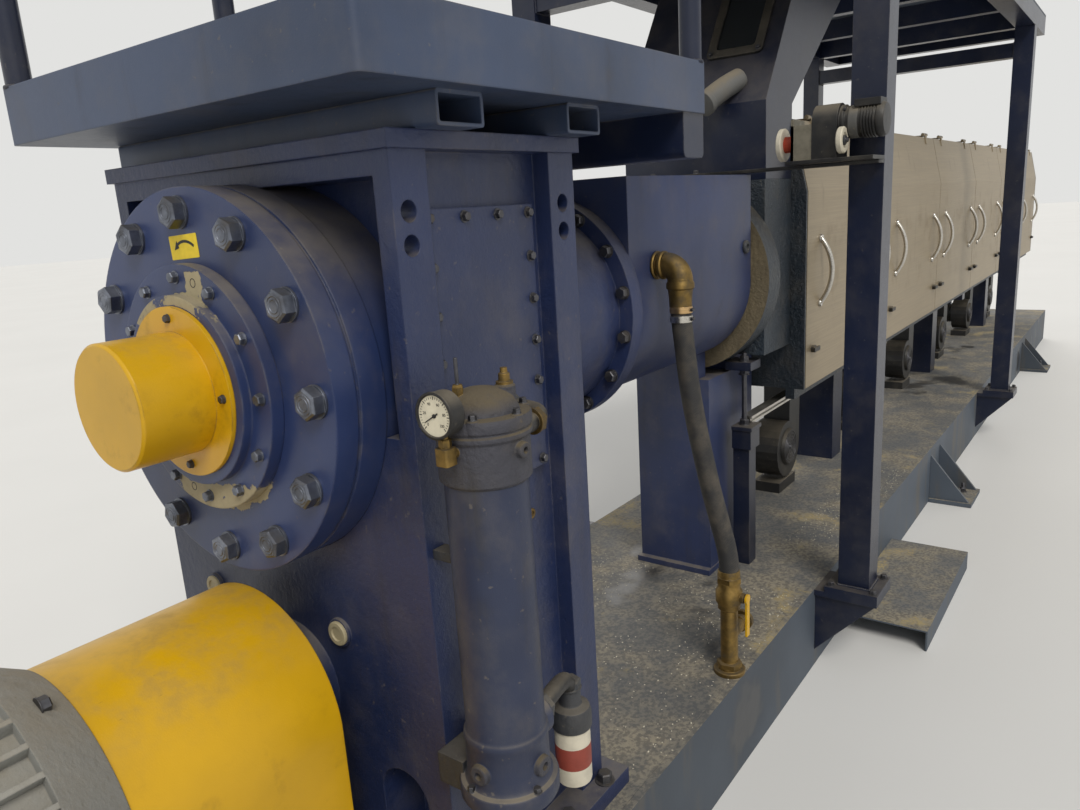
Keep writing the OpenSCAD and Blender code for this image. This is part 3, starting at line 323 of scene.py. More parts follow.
def guard_paint(name):
    """Yellow of the guards: thin satin paint, rubbed dark in patches, with painted shade underneath,
    and scratched.
    """
    f = Finish(name)
    paint = srgb(206, 159, 8)
    broad = f.noise(2.4, 5)
    patchy = f.noise(13.0, 6, 0.65)
    eased = f.eased_normal(0.003)
    colour = f.uneven(broad, 0.3, 0.7, paint, 0.86, 1.12)
    # Dark patches: partly rubbed paint, partly painted shade that grows as the faces turn down
    rubbed_and_underside_shade = patchy.above(0.52, 0.74) * (0.12 + 0.38 * f.up().below(-0.5, 0.5))
    colour = f.mix(rubbed_and_underside_shade, colour, srgb(92, 66, 20))
    scratch = f.runs((26.0, 190.0, 26.0), 3, 0.7).above(0.72, 0.76)
    colour = f.mix(scratch * 0.5, colour, srgb(70, 52, 22))
    dusty = f.up().above(0.35, 0.95) * patchy.above(0.35, 0.75) * 0.34
    colour = f.mix(dusty, colour, DUST)
    worn = f.edge(eased) * patchy.above(0.48, 0.56) * 0.7
    colour = f.mix(worn, colour, srgb(64, 52, 36))
    rough = 0.34 + dusty * 0.5 + rubbed_and_underside_shade * 0.25
    height = f.noise(380.0, 2) * 0.00018 + f.noise(7.0, 3) * 0.0009
    return f.shader(colour, rough, normal=f.bump(height, 1.0, eased))


def cover_sheet(name):
    """Warm grey sheet of the barrel covers, with a fine level grain and hand marks."""
    f = Finish(name)
    sheet = srgb(149, 135, 111)
    grain = f.runs((3.0, 90.0, 260.0), 4)
    bands = f.runs((0.5, 2.0, 9.0), 4, 0.5)
    patchy = f.noise(6.0, 6, 0.6)
    eased = f.eased_normal(0.003)
    colour = f.uneven(grain, 0.3, 0.7, sheet, 0.88, 1.1)
    colour = f.mix(bands.above(0.4, 0.7) * 0.3, colour, shade(sheet, 0.74))
    height = f.axis(f.place, "Z")
    hands = patchy.above(0.5, 0.75) * height.above(1.0, 1.2) * height.below(1.42, 1.62)
    colour = f.mix(hands * 0.35, colour, srgb(96, 84, 66))
    dusty = f.up().above(0.2, 0.95) * (0.35 + 0.5 * patchy.above(0.35, 0.7))
    colour = f.mix(dusty * 0.7, colour, DUST)
    runs = f.runs((22.0, 22.0, 1.0)).above(0.6, 0.75)
    colour = f.mix(runs * 0.22, colour, GRIME)
    rough = 0.40 + grain * 0.12 + dusty * 0.35 + hands * 0.1
    normal = f.bump(grain * 0.00012 + f.noise(1.4, 2) * 0.004, 1.0, eased)
    return f.shader(colour, rough, metallic=0.35, normal=normal)


def metal(name, colour_made, rough, grain=(60.0, 60.0, 60.0), dirt=0.3, tarnish=None):
    """Bare metal with a lay, dark dirt in patches and a duller skin in places."""
    f = Finish(name)
    patchy = f.noise(17.0, 6, 0.6)
    lay = f.runs(grain, 4)
    eased = f.eased_normal(0.0015)
    colour = f.uneven(lay, 0.3, 0.7, colour_made, 0.84, 1.12)
    if tarnish:
        colour = f.mix(patchy.above(0.36, 0.66) * 0.75, colour, tarnish)
    dirty = patchy.above(0.5, 0.72) * dirt + f.up().above(0.4, 1.0) * dirt * 0.7
    soiled = f.least(dirty, 0.9)
    colour = f.mix(soiled, colour, srgb(74, 66, 54))
    metallic = 1 - soiled * 0.8
    made_rough = rough + dirty * 0.35 + lay * 0.08
    return f.shader(colour, made_rough, metallic=metallic, normal=f.bump(lay * 0.0001, 1.0, eased))


def hose_rubber(name):
    """Cloth-wrapped water hose: woven print round the tube, chalky with dust."""
    f = Finish(name)
    around = f.node("ShaderNodeUVMap", {"uv_map": "UVMap"})
    turned = f.node("ShaderNodeMapping", {}, {"Vector": around, "Scale": (60.0, 420.0, 1.0)})
    wrap = f.node("ShaderNodeTexWave", {"wave_type": "BANDS", "bands_direction": "DIAGONAL"},
                  {"Vector": turned, "Scale": 0.32, "Distortion": 0.4}, out="Fac")
    patchy = f.noise(14.0, 6, 0.65)
    colour = f.mix(wrap, srgb(30, 30, 31), srgb(44, 43, 43))
    dusty = patchy.above(0.38, 0.72) * 0.6
    colour = f.mix(dusty, colour, srgb(98, 90, 78))
    height = wrap * 0.0004 + f.noise(260.0, 3) * 0.0003
    return f.shader(colour, 0.66 + dusty * 0.2, normal=f.bump(height, 1.0))


def plain(name, colour_made, rough, **others):
    """Small moulded or printed pieces, with a faint mottle."""
    f = Finish(name)
    mottle = f.noise(45.0, 5, 0.6)
    colour = f.mix(mottle.above(0.35, 0.7) * 0.8, colour_made, shade(colour_made, 0.82))
    return f.shader(colour, rough + mottle * 0.1, **others)


FINISHES = {}


def add_finish(make, name, *paint, **others):
    """Adds a finish that one of the functions above makes."""
    FINISHES[name] = make(name, *paint, **others)


add_finish(enamel, "gearbox_blue", srgb(35, 46, 80), dust=0.42, gloss=0.34, cast=0.0016)
add_finish(peeled_blue, "cap_blue", srgb(41, 54, 92), dust=0.5, gloss=0.32)
add_finish(enamel, "platform_blue", srgb(56, 68, 92), dust=0.5, gloss=0.4)
add_finish(enamel, "column_navy", srgb(20, 28, 50), dust=0.3, gloss=0.26, grime=0.15)
add_finish(enamel, "feed_blue", srgb(43, 53, 86), dust=0.5, gloss=0.38)
add_finish(enamel, "panel_blue", srgb(40, 50, 60), dust=0.6, gloss=0.38, cast=0.008)
add_finish(enamel, "motor_grey", srgb(152, 152, 147), dust=0.6, gloss=0.52, cast=0.0025, grime=0.4,
           dust_colour=srgb(142, 134, 118))
add_finish(enamel, "filter_blue", srgb(36, 44, 68), dust=0.6, gloss=0.4, grime=0.8)
add_finish(enamel, "filter_cast", srgb(58, 58, 66), dust=0.9, gloss=0.55, cast=0.004, grime=0.8,
           dust_colour=srgb(96, 86, 68))
add_finish(enamel, "dusty_pipe", srgb(96, 96, 94), dust=0.8, gloss=0.6, grime=0.6)
add_finish(enamel, "dark_iron", srgb(48, 50, 54), dust=0.35, gloss=0.46, cast=0.002, chips=0.5)
add_finish(enamel, "black_paint", srgb(22, 22, 23), dust=0.45, gloss=0.4, chips=0.2)
add_finish(floor_plate, "base_grey", srgb(70, 78, 88))
add_finish(floor_plate, "tread_plate", srgb(72, 80, 92), dust=0.5, tread=0.0022)
add_finish(guard_paint, "guard_yellow")
add_finish(cover_sheet, "cover_beige")
add_finish(metal, "bright_steel", srgb(196, 192, 184), 0.24, (8.0, 260.0, 260.0), 0.25)
add_finish(metal, "bolt_steel", srgb(92, 92, 96), 0.42, (90.0, 90.0, 90.0), 0.55)
add_finish(metal, "head_steel", srgb(128, 132, 142), 0.38, (40.0, 40.0, 40.0), 0.5, srgb(78, 84, 96))
add_finish(metal, "brass", srgb(146, 120, 70), 0.44, (70.0, 70.0, 70.0), 0.8, srgb(92, 78, 52))
add_finish(metal, "clamp_bronze", srgb(206, 172, 124), 0.3, (8.0, 8.0, 260.0), 0.2)
add_finish(metal, "fin_aluminium", srgb(150, 149, 146), 0.5, (50.0, 50.0, 50.0), 0.35)
add_finish(plain, "gauge_cream", srgb(222, 214, 190), 0.4)
add_finish(plain, "cream_plastic", srgb(208, 200, 180), 0.45)
add_finish(hose_rubber, "rubber")
add_finish(plain, "mark_black", srgb(18, 18, 18), 0.5)
add_finish(plain, "decal_yellow", srgb(238, 206, 24), 0.4)
add_finish(plain, "signal_red", srgb(176, 62, 34), 0.5)
add_finish(enamel, "raw_iron", srgb(98, 88, 68), dust=0.9, gloss=0.75, cast=0.006, chips=0.1,
           dust_colour=srgb(140, 124, 94))
add_finish(plain, "filler_patch", FILLER, 0.6)
add_finish(plain, "band_red", srgb(142, 62, 48), 0.5)
add_finish(metal, "bracket_grey", srgb(150, 144, 128), 0.45, (30.0, 30.0, 30.0), 0.4)
add_finish(plain, "window_plastic", srgb(40, 42, 42), 0.12, coat_weight=0.6)


# Meshes
def skin(rings, closed=False, gone=None):
    """A body through rings of points. A ring of one point is a tip, and open ends are capped.

    With the length gone at each ring, it has a UV map that runs round it and along it.
    """
    bm = bmesh.new()
    lay = bm.loops.layers.uv.new("UVMap")
    rings = [[bm.verts.new(p) for p in ring] for ring in rings]
    for row, (near, far) in enumerate(zip(rings, rings[1:] + rings[:1] * closed)):
        steps = max(len(near), len(far))
        for i in range(steps):
            after = (i + 1) % steps
            corners = [near[i % len(near)], near[after % len(near)],
                       far[after % len(far)], far[i % len(far)]]
            face = bm.faces.new(list(dict.fromkeys(corners)))
            if gone:
                places = (i, row), (i + 1, row), (i + 1, row + 1), (i, row + 1)
                for loop, (turn, at) in zip(face.loops, places):
                    loop[lay].uv = (turn / steps, gone[at])
    for ring in () if closed else (rings[0][::-1], rings[-1]):
        if len(ring) > 1:
            bm.faces.new(ring)
    bmesh.ops.recalc_face_normals(bm, faces=bm.faces)
    made = bpy.data.meshes.new("part")
    bm.to_mesh(made)
    bm.free()
    return made


def circle(radius, steps, start=0.0, sweep=360.0):
    """Points round a circle, in degrees from +X."""
    angles = [radians(start + sweep * i / steps) for i in range(steps)]
    return [(radius * cos(a), radius * sin(a)) for a in angles]


def turned(profile, steps=48):
    """A body of revolution about Z from its half outline of (radius, height) points."""
    return skin([[(x, y, height) for x, y in circle(radius, steps if radius > 1e-6 else 1)]
                 for radius, height in profile])


def stacked(*loops, closed=False):
    """A body through (outline, height) pairs whose outlines have as many points."""
    return skin([[(x, y, height) for x, y in outline] for outline, height in loops], closed)


def plate(outline, depth):
    """A flat plate of any outline in its own XY plane, drawn up along Z by its depth."""
    return stacked((outline, 0.0), (outline, depth))


def ring_plate(outer, inner, depth):
    """A flat frame between two outlines, drawn up along Z."""
    return stacked((outer, 0.0), (outer, depth), (inner, depth), (inner, 0.0), closed=True)


def block(low, high):
    """A box between two corners."""
    outline = [(low[0], low[1]), (high[0], low[1]), (high[0], high[1]), (low[0], high[1])]
    return stacked((outline, low[2]), (outline, high[2]))


def disc(radius, depth, edge=0.001, steps=32):
    """A short round body along Z with eased edges."""
    return turned([(radius - edge, 0.0), (radius, edge), (radius, depth - edge),
                   (radius - edge, depth)], steps)


def hoop(radius, wire, steps=40, sides=8):
    """A round wire bent to a circle about Z."""
    return skin([[((radius + x) * across, (radius + x) * along, z) for x, z in circle(wire, sides)]
                 for across, along in circle(1.0, steps)], closed=True)


def tube(points, radius, sides=20):
    """A round tube along points."""
    points = [Vector(p) for p in points]
    rings, gone, side = [], [0.0], None
    for i, point in enumerate(points):
        ahead = (points[min(i + 1, len(points) - 1)] - points[max(i - 1, 0)]).normalized()
        side = (side - ahead * side.dot(ahead)).normalized() if side else ahead.orthogonal()
        side.normalize()
        other = ahead.cross(side)
        rings.append([point + side * x + other * y for x, y in circle(radius, sides)])
        if i:
            gone.append(gone[-1] + (point - points[i - 1]).length)
    return skin(rings, gone=gone)


def arc(radius, steps, start, sweep):
    """Points of an arc with both its ends, in degrees from +X."""
    return [(radius * cos(radians(start + sweep * i / steps)),
             radius * sin(radians(start + sweep * i / steps))) for i in range(steps + 1)]


def rounded(width, height, radius, steps=6):
    """Outline of a rectangle with round corners, about its middle."""
    outline = []
    for across, upright, start in ((1, 1, 0), (-1, 1, 90), (-1, -1, 180), (1, -1, 270)):
        x, y = across * (width / 2 - radius), upright * (height / 2 - radius)
        outline += [(x + dx, y + dy) for dx, dy in arc(radius, steps, start, 90.0)]
    return outline


def facing(at, axis, up=Z):
    """The turn and shift to a point, with Z along an axis and Y as near up as it goes."""
    axis = Vector(axis).normalized()
    side = Vector(up).cross(axis)
    side = side.normalized() if side.length > 1e-6 else axis.orthogonal().normalized()
    turn = Matrix((side, axis.cross(side), axis)).transposed().to_4x4()
    return shift(at) @ turn


def smooth_route(points, steps=4):
    """More points on one smooth curve through the points."""
    points = [Vector(p) for p in points]
    ends = [points[0]] + points + [points[-1]]
    made = []
    for a, b, c, d in zip(ends, ends[1:], ends[2:], ends[3:]):
        for t in (step / steps for step in range(steps)):
            made.append(0.5 * (2 * b + (c - a) * t + (2 * a - 5 * b + 4 * c - d) * t * t
                               + (3 * b - a - 3 * c + d) * t ** 3))
    return made + [points[-1]]


def from_object(data, tree=None, values=None):
    """The mesh that an object of the data makes, with a geometry tree and its inputs by name."""
    carrier = bpy.data.objects.new("carrier", data)
    scene.collection.objects.link(carrier)
    if tree:
        modifier = carrier.modifiers.new("tree", "NODES")
        modifier.node_group = tree
        for item in tree.interface.items_tree:
            if item.in_out == "INPUT" and item.name in values:
                modifier[item.identifier] = values[item.name]
    depsgraph = bpy.context.evaluated_depsgraph_get()
    made = bpy.data.meshes.new_from_object(carrier.evaluated_get(depsgraph))
    bpy.data.objects.remove(carrier)
    return made


def grow(tree, places, values, edges=(), faces=()):
    """The mesh that a tree makes from places, and from the edges or faces between them."""
    base = bpy.data.meshes.new("base")
    base.from_pydata([tuple(p) for p in places], edges, faces)
    made = from_object(base, tree, values)
    bpy.data.meshes.remove(base)
    return made


def number(text, size):
    """A plain number as a thin mesh about its own middle."""
    curve = bpy.data.curves.new("number", "FONT")
    curve.body, curve.size, curve.extrude, curve.resolution_u = text, size, 0.0001, 2
    curve.align_x, curve.align_y = "CENTER", "CENTER"
    made = from_object(curve)
    made.materials.clear()
    bpy.data.curves.remove(curve)
    return made


class Piece:
    """One object of the scene, gathered from small meshes that keep their own finishes.

    A mesh that is added without a finish gets that of the slot.
    """

    def __init__(self, name, slot, body="root"):
        self.name, self.slot, self.body = name, slot, body
        self.bm = bmesh.new()
        self.bm.loops.layers.uv.new("UVMap")
        self.finishes = []

    def add(self, mesh, at=None, finish=None):
        finish = finish or self.slot
        if finish not in self.finishes:
            self.finishes.append(finish)
        if at is not None:
            mesh.transform(at)
        known = len(self.bm.faces)
        self.bm.from_mesh(mesh)
        self.bm.faces.ensure_lookup_table()
        for face in self.bm.faces[known:]:
            face.material_index = self.finishes.index(finish)
        bpy.data.meshes.remove(mesh)
        return self

    def blocks(self, *ends, finish=None):
        for low, high in ends:
            self.add(block(low, high), finish=finish)

    def bolts(self, places, axis, flats, height=None, washer=1.12, sides=6, crown=0.18, seed=1,
              finish="bolt_steel"):
        """Hexagon heads of a size across flats, or round ones with more sides."""
        radius = flats / 2 / cos(pi / sides)
        values = {"Sides": sides, "Head Radius": radius, "Head Height": height or flats * 0.62,
                  "Crown": crown, "Washer Radius": radius * washer, "Washer Height": flats * 0.1,
                  "Axis": axis, "Seed": seed}
        return self.add(grow(FIXINGS, places, values), finish=finish)

    def weld(self, places, width):
        """A weld bead round a closed line."""
        edges = [(i, (i + 1) % len(places)) for i in range(len(places))]
        self.add(grow(WELD, places, {"Width": width, "Seed": 3}, edges))

    def make(self, *replaced, crease=32):
        """The finished object, which may stand for solids of the frame."""
        made = bpy.data.meshes.new(self.name)
        self.bm.to_mesh(made)
        self.bm.free()
        for finish in self.finishes:
            made.materials.append(FINISHES[finish])
        made.shade_smooth()
        made.set_sharp_from_angle(angle=radians(crease))
        piece = bpy.data.objects.new(self.name, made)
        scene.collection.objects.link(piece)
        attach(piece, self.body)
        if replaced:
            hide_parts(*replaced)
        return piece


# Geometry trees
class Tree(Board):
    """A geometry tree with named inputs, whose meshes get one finish."""

    def __init__(self, name, **inputs):
        super().__init__(bpy.data.node_groups.new(name, "GeometryNodeTree"))
        for way in ("OUTPUT", "INPUT"):
            self.tree.interface.new_socket("Geometry", in_out=way, socket_type="NodeSocketGeometry")
        for label, kind in inputs.items():
            self.tree.interface.new_socket(label.replace("_", " "), in_out="INPUT",
                                           socket_type="NodeSocket" + kind)
        group = self.tree.nodes.new("NodeGroupInput")
        self.wires = {socket.name: Wire(self, socket) for socket in group.outputs if socket.name}

    def __getitem__(self, name):
        return self.wires[name]

    def xyz(self, **parts):
        return self.node("ShaderNodeCombineXYZ", {}, parts)

    def random(self, low, high):
        """A random vector for each copy."""
        return self.node("FunctionNodeRandomValue", {"data_type": "FLOAT_VECTOR"},
                         {0: low, 1: high, "Seed": self["Seed"]})

    def repeat(self, finish, points, copy, **others):
        """A copy at each point, as real meshes in one finish. Returns the tree."""
        placed = self.node("GeometryNodeInstanceOnPoints", {},
                           {"Points": points, "Instance": copy, **others})
        solid = self.node("GeometryNodeRealizeInstances", {}, {0: placed})
        painted = self.node("GeometryNodeSetMaterial", {},
                            {"Geometry": solid, "Material": FINISHES[finish]})
        self.node("NodeGroupOutput", {}, {0: painted})
        return self.tree


def fixing_tree():
    """Bolt or screw heads on washers, one at each point, standing along an axis."""
    t = Tree("fixings", Sides="Int", Head_Radius="Float", Head_Height="Float", Crown="Float",
             Washer_Radius="Float", Washer_Height="Float", Axis="Vector", Seed="Int")

    def cone(sides, radius, height, top=1):
        inputs = {"Vertices": sides, "Radius Top": radius * top, "Radius Bottom": radius,
                  "Depth": height}
        return t.node("GeometryNodeMeshCone", {"fill_type": "NGON"}, inputs)

    def lifted(mesh, height):
        return t.node("GeometryNodeTransform", {},
                      {"Geometry": mesh, "Translation": t.xyz(Z=height)})

    straight = t["Head Height"] * (1 - t["Crown"])
    head = cone(t["Sides"], t["Head Radius"], straight)
    crown = cone(t["Sides"], t["Head Radius"], t["Head Height"] * t["Crown"], 0.84)
    parts = (cone(24, t["Washer Radius"], t["Washer Height"]), lifted(head, t["Washer Height"]),
             lifted(crown, t["Washer Height"] + straight))
    joined = t.tree.nodes.new("GeometryNodeJoinGeometry")
    for mesh in parts:
        t.tree.links.new(mesh.socket, joined.inputs[0])
    spin = t.node("FunctionNodeRandomValue", {"data_type": "FLOAT"},
                  {2: 0.0, 3: 6.28, "Seed": t["Seed"]}, out=1)
    spun = t.node("FunctionNodeEulerToRotation", {}, {0: t.xyz(Z=spin)})
    stood = t.node("FunctionNodeAlignRotationToVector", {"axis": "Z"}, {"Vector": t["Axis"]})
    turn = t.node("FunctionNodeRotateRotation", {"rotation_space": "LOCAL"}, {0: stood, 1: spun})
    return t.repeat("bolt_steel", t["Geometry"], Wire(t, joined.outputs[0]), Rotation=turn)


def granule_tree():
    """Spilt plastic granules, scattered over faces."""
    t = Tree("granules", Density="Float", Size="Float", Seed="Int")
    patches = t.node("ShaderNodeTexNoise", {}, {"Scale": 2.6, "Detail": 5.0})
    points = t.node("GeometryNodeDistributePointsOnFaces", {}, {
        "Mesh": t["Geometry"], "Density": t["Density"] * patches.above(0.42, 0.66),
        "Seed": t["Seed"]})
    grain = t.node("GeometryNodeMeshIcoSphere", {}, {"Radius": t["Size"], "Subdivisions": 1})
    return t.repeat("cream_plastic", points, grain,
                    Scale=t.random((0.5, 0.7, 0.35), (1.1, 1.5, 0.7)),
                    Rotation=t.random((0.0, 0.0, 0.0), (0.4, 0.4, 6.28)))


def weld_tree():
    """A weld bead: small overlapping scales laid along a line of edges."""
    t = Tree("weld_bead", Width="Float", Seed="Int")
    line = t.node("GeometryNodeMeshToCurve", {}, {0: t["Geometry"]})
    steps = t.node("GeometryNodeCurveToPoints", {"mode": "LENGTH"},
                   {"Curve": line, "Length": t["Width"] * 0.62})
    turn = t.node("FunctionNodeAlignRotationToVector", {"axis": "X"},
                  {"Vector": t.node("GeometryNodeInputTangent")})
    scale = t.node("GeometryNodeMeshUVSphere", {}, {
        "Segments": 8, "Rings": 4, "Radius": t["Width"] * 0.5})
    return t.repeat("column_navy", steps, scale, Rotation=turn,
                    Scale=t.random((0.85, 0.85, 0.85), (1.1, 1.15, 1.15)))


def mark_tree():
    """Marks round a dial, every fifth one longer."""
    t = Tree("dial_marks", Count="Int", Radius="Float", Sweep="Float", Length="Float")
    line = t.node("GeometryNodeMeshLine", {"mode": "OFFSET"}, {"Count": t["Count"]})
    step = t.node("GeometryNodeInputIndex")
    angle = t["Sweep"] * (step / (t["Count"] - 1) - 0.5)
    at = t.xyz(X=t.maths("SINE", angle, 0.0) * t["Radius"],
               Y=t.maths("COSINE", angle, 0.0) * t["Radius"])
    points = t.node("GeometryNodeSetPosition", {}, {"Geometry": line, "Position": at})
    bar = t.node("GeometryNodeMeshCube", {}, {"Size": (0.0007, 0.0045, 0.0003)})
    fifth = t.maths("COMPARE", t.maths("MODULO", step, 5.0), 0.0)
    size = t.xyz(X=1 + fifth * 0.8, Y=t["Length"] * (1 + fifth * 0.7), Z=1.0)
    return t.repeat("mark_black", points, bar, Rotation=t.xyz(Z=0 - angle), Scale=size)


FIXINGS, GRANULES, WELD, DIAL_MARKS = fixing_tree(), granule_tree(), weld_tree(), mark_tree()


def four(across, along):
    """The corners of a rectangle about the middle."""
    return [(s * across, t * along) for s in (-1, 1) for t in (-1, 1)]


# Signs of the corners of a square, in turn round it
AROUND = ((-1, -1), (1, -1), (1, 1), (-1, 1))


def ring_places(middle, axis, radius, count, phase=0.0):
    """Places round a circle about an axis, the first at a phase in degrees."""
    across, upright = (Y, Z) if abs(axis.x) > 0.5 else ((X, Z) if abs(axis.y) > 0.5 else (X, Y))
    return [Vector(middle) + across * a + upright * b for a, b in circle(radius, count, phase)]


def row_places(start, end, count):
    """Places from a start to an end, both included."""
    return [Vector(start).lerp(Vector(end), i / (count - 1)) for i in range(count)]


def round_border(low, high, inset, pitch, y):
    """Places along the border of an upright plate in the XZ plane."""
    x = (low[0] + inset, high[0] - inset)
    z = (low[1] + inset, high[1] - inset)
    along = max(2, round((x[1] - x[0]) / pitch) + 1)
    upright = max(3, round((z[1] - z[0]) / pitch) + 1)
    places = row_places((x[0], y, z[0]), (x[1], y, z[0]), along)
    places += row_places((x[0], y, z[1]), (x[1], y, z[1]), along)
    for side in x:
        places += row_places((side, y, z[0]), (side, y, z[1]), upright)[1:-1]
    return places


# Water hose
HOSE_ROUTE = [Vector(p) / 1000 for p in (
    (-895, -334, 1360), (-895, -334, 1330), (-895, -336, 1290), (-894, -341, 1240),
    (-893, -347, 1180), (-892, -355, 1110), (-890, -366, 1040), (-888, -379, 970),
    (-885, -393, 900), (-882, -408, 830), (-878, -422, 770), (-875, -434, 720),
    (-872, -443, 680), (-870, -449, 645), (-870, -452, 620), (-870, -452, 600))]
HOSE_RADIUS = 0.027
hose = Piece("hose", "rubber").add(tube(smooth_route(HOSE_ROUTE), HOSE_RADIUS, 28))
hose = hose.make("water_hose", crease=60)
hose_length = sum((b - a).length for a, b in zip(HOSE_ROUTE, HOSE_ROUTE[1:]))
tuple(HOSE_ROUTE[0])
[tuple(p) for p in HOSE_ROUTE]


# Finishes of the solids
def dress(node, finish, *parts):
    """Gives a solid its finish, and others to the faces whose middle passes a test."""
    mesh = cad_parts[node].data
    mesh.materials.clear()
    for name in (finish,) + tuple(part[0] for part in parts):
        mesh.materials.append(FINISHES[name])
    for face in mesh.polygons:
        face.material_index = 0
        for place, (_, test) in enumerate(parts, 1):
            if test(*face.center):
                face.material_index = place


SOLIDS = {
    "base_grey": "base_sides base_deck base_crossmembers anchor_brackets_back "
                 "anchor_brackets_middle anchor_brackets_front floor_duct",
    "tread_plate": "deck_floor",
    "motor_grey": "motor",
    "dark_iron": "drive_coupling barrel discharge_adaptor",
    "guard_yellow": "coupling_guard shaft_guard valve_lever",
    "gearbox_blue": "gearbox_housing gearbox_side_covers",
    "cap_blue": "thrust_housing bearing_cap",
    "platform_blue": "hopper hopper_lid",
    "column_navy": "chute barrel_pedestals portal_1 portal_2 deck_beams",
    "feed_blue": "feed_housing feed_pedestal",
    "panel_blue": "cover_frames",
    "bright_steel": "slide_rail",
    "fin_aluminium": "heater_shells",
    "black_paint": "zone_blowers",
    "cover_beige": "cover_roof far_covers",
}
for name, nodes in SOLIDS.items():
    for node in nodes.split():
        dress(node, name)
RING_BACK, SHEET_Y, LATCH_Z, HINGE_Z = -0.2340, -0.3205, 1.15, 1.8525
dress("feed_casting", "panel_blue", ("raw_iron", lambda x, y, z: x < RING_BACK))
COVERS = [f"cover_{i}" for i in range(1, 7)]
for cover in COVERS:
    dress(cover, "cover_beige",
          ("bright_steel", lambda x, y, z: y < SHEET_Y and z > LATCH_Z),
          ("black_paint", lambda x, y, z: y < SHEET_Y and z < LATCH_Z),
          ("bolt_steel", lambda x, y, z: z > HINGE_Z))

# Gearbox
piece = Piece("thrust_bolt_heads", "dark_iron")
places = ring_places((-2.055, 0, SCREW_Z), X, 0.298, 12)
piece.bolts(places, -X, 0.046, 0.0215, washer=1.04, crown=0.14, seed=4, finish="head_steel")
for place in places:
    for r, wide in ((0.0150, 0.0022), (0.0095, 0.0016)):
        raised = [(r, -0.001), (r, 0.0005), (r + wide * 0.3, 0.0010), (r + wide * 0.7, 0.0010),
                  (r + wide, 0.0005), (r + wide, -0.001)]
        piece.add(turned(raised, 28), facing(place - X * 0.0261, -X), "head_steel")
piece.make("thrust_bolts")

CAP_FACE = -2.080
piece = Piece("cap_screws", "dark_iron")
places = ring_places((CAP_FACE, 0, SCREW_Z), X, 0.193, 12)
piece.bolts(places, -X, 0.017, 0.010, seed=7, finish="head_steel")
for hand in (-1, 1):
    hole = (CAP_FACE, hand * JACK_HOLE.y, SCREW_Z + hand * JACK_HOLE.z)
    rim = [(0.0062, -0.004), (0.0065, 0.0003), (0.0078, 0.0003), (0.0080, -0.004)]
    piece.add(turned(rim, 20), facing(hole, -X), "mark_black")
piece.make()

piece = Piece("guard_screws", "dark_iron")
piece.bolts(ring_places((-2.105, 0, SCREW_Z), X, 0.127, 4), -X, 0.012, 0.006, seed=9)
piece.make()


def arc_arrow(radius, width, start, end, head):
    """Outline of a bent arrow whose head is at its end, anticlockwise, in degrees."""
    def at(reach, turn):
        return reach * cos(turn), reach * sin(turn)
    last, tip = radians(end), radians(end) + head / radius
    tail = arc(radius + width / 2, 14, start, end - start)
    back = arc(radius - width / 2, 14, start, end - start)[::-1]
    return tail + [at(radius + head * 0.45, last), at(radius * 0.98, tip),
                   at(radius - head * 0.45, last)] + back


piece = Piece("turning_arrow", "guard_yellow")
decal = facing((-2.0551, 0.001, 1.5735), -X) @ Matrix.Rotation(radians(3), 4, "Z")
piece.add(plate(rounded(0.083, 0.040, 0.002, 3), 0.0006), decal, "decal_yellow")
arrow = plate(arc_arrow(0.046, 0.0046, 52, 114, 0.015), 0.0004)
piece.add(arrow, decal @ shift((0.002, -0.037, 0.0006)), "mark_black")
piece.make()

for side, hand in ((-1, "near"), (1, "far")):
    piece = Piece(f"inspection_cover_bolts_{hand}", "dark_iron")
    places = round_border((-1.870, 1.105), (-1.574, 1.610), 0.015, 0.082, side * 0.375)
    piece.bolts(places, side * Y, 0.0145, 0.0085, washer=1.25, seed=11)
    piece.make()
    piece = Piece(f"gearbox_plugs_{hand}", "brass")
    for x, z, r in ((-1.700, 0.700, 0.024), (-1.760, 1.010, 0.011), (-1.620, 1.010, 0.011)):
        rim = [(r, 0), (r, r * 0.34), (r * 0.9, r * 0.46), (r * 0.5, r * 0.46), (r * 0.45, r * 0.2)]
        piece.add(turned(rim, 24), facing((x, side * 0.360, z), side * Y))
    piece.make()

piece = Piece("gearbox_end_plugs", "brass")
END_PLUG_R, END_PLUG_Z = 0.024, 0.850
for y in (-0.149, 0.254):
    rim = [(END_PLUG_R * share, z) for share, z in
           ((1, 0), (1, 0.004), (0.92, 0.006), (0.62, 0.006), (0.55, 0.003))]
    piece.add(turned(rim, 28), facing((-1.957, y, END_PLUG_Z), -X), "filler_patch")
piece.make()

piece = Piece("nose_flange_bolts", "dark_iron")
piece.bolts(ring_places((-1.085, 0, SCREW_Z), X, 0.281, 16, 11.25), -X, 0.026, 0.016, seed=15)
piece.make()

# Oil filter
FILTER = Vector((-1.921, -0.514, 0.0))
FILTER_FOOT = shift(FILTER)
piece = Piece("filter_body", "filter_blue")
profile = [(0.040, 0.550), (0.044, 0.556), (0.044, 0.590), (0.060, 0.642), (0.0825, 0.648),
           (0.0845, 0.652), (0.0845, 0.674), (0.0825, 0.678), (0.075, 0.681), (0.0705, 0.690),
           (0.0700, 0.754), (0.0714, 0.758), (0.0714, 0.766), (0.0690, 0.770), (0.0663, 0.775),
           (0.0663, 1.201)]
piece.add(turned(profile, 64), FILTER_FOOT)
port = [(0.0065, 0.071), (0.0070, 0.0785), (0.0150, 0.0785), (0.0170, 0.0770), (0.0190, 0.062)]
for way in (-X, X, -Y):
    piece.add(turned(port, 28), facing(FILTER + Z * 0.716, way), "filter_cast")
piece.add(turned([(0.036, 0.050), (0.036, 0.086), (0.030, 0.094)], 36), facing(FILTER + Z * 0.738, X))
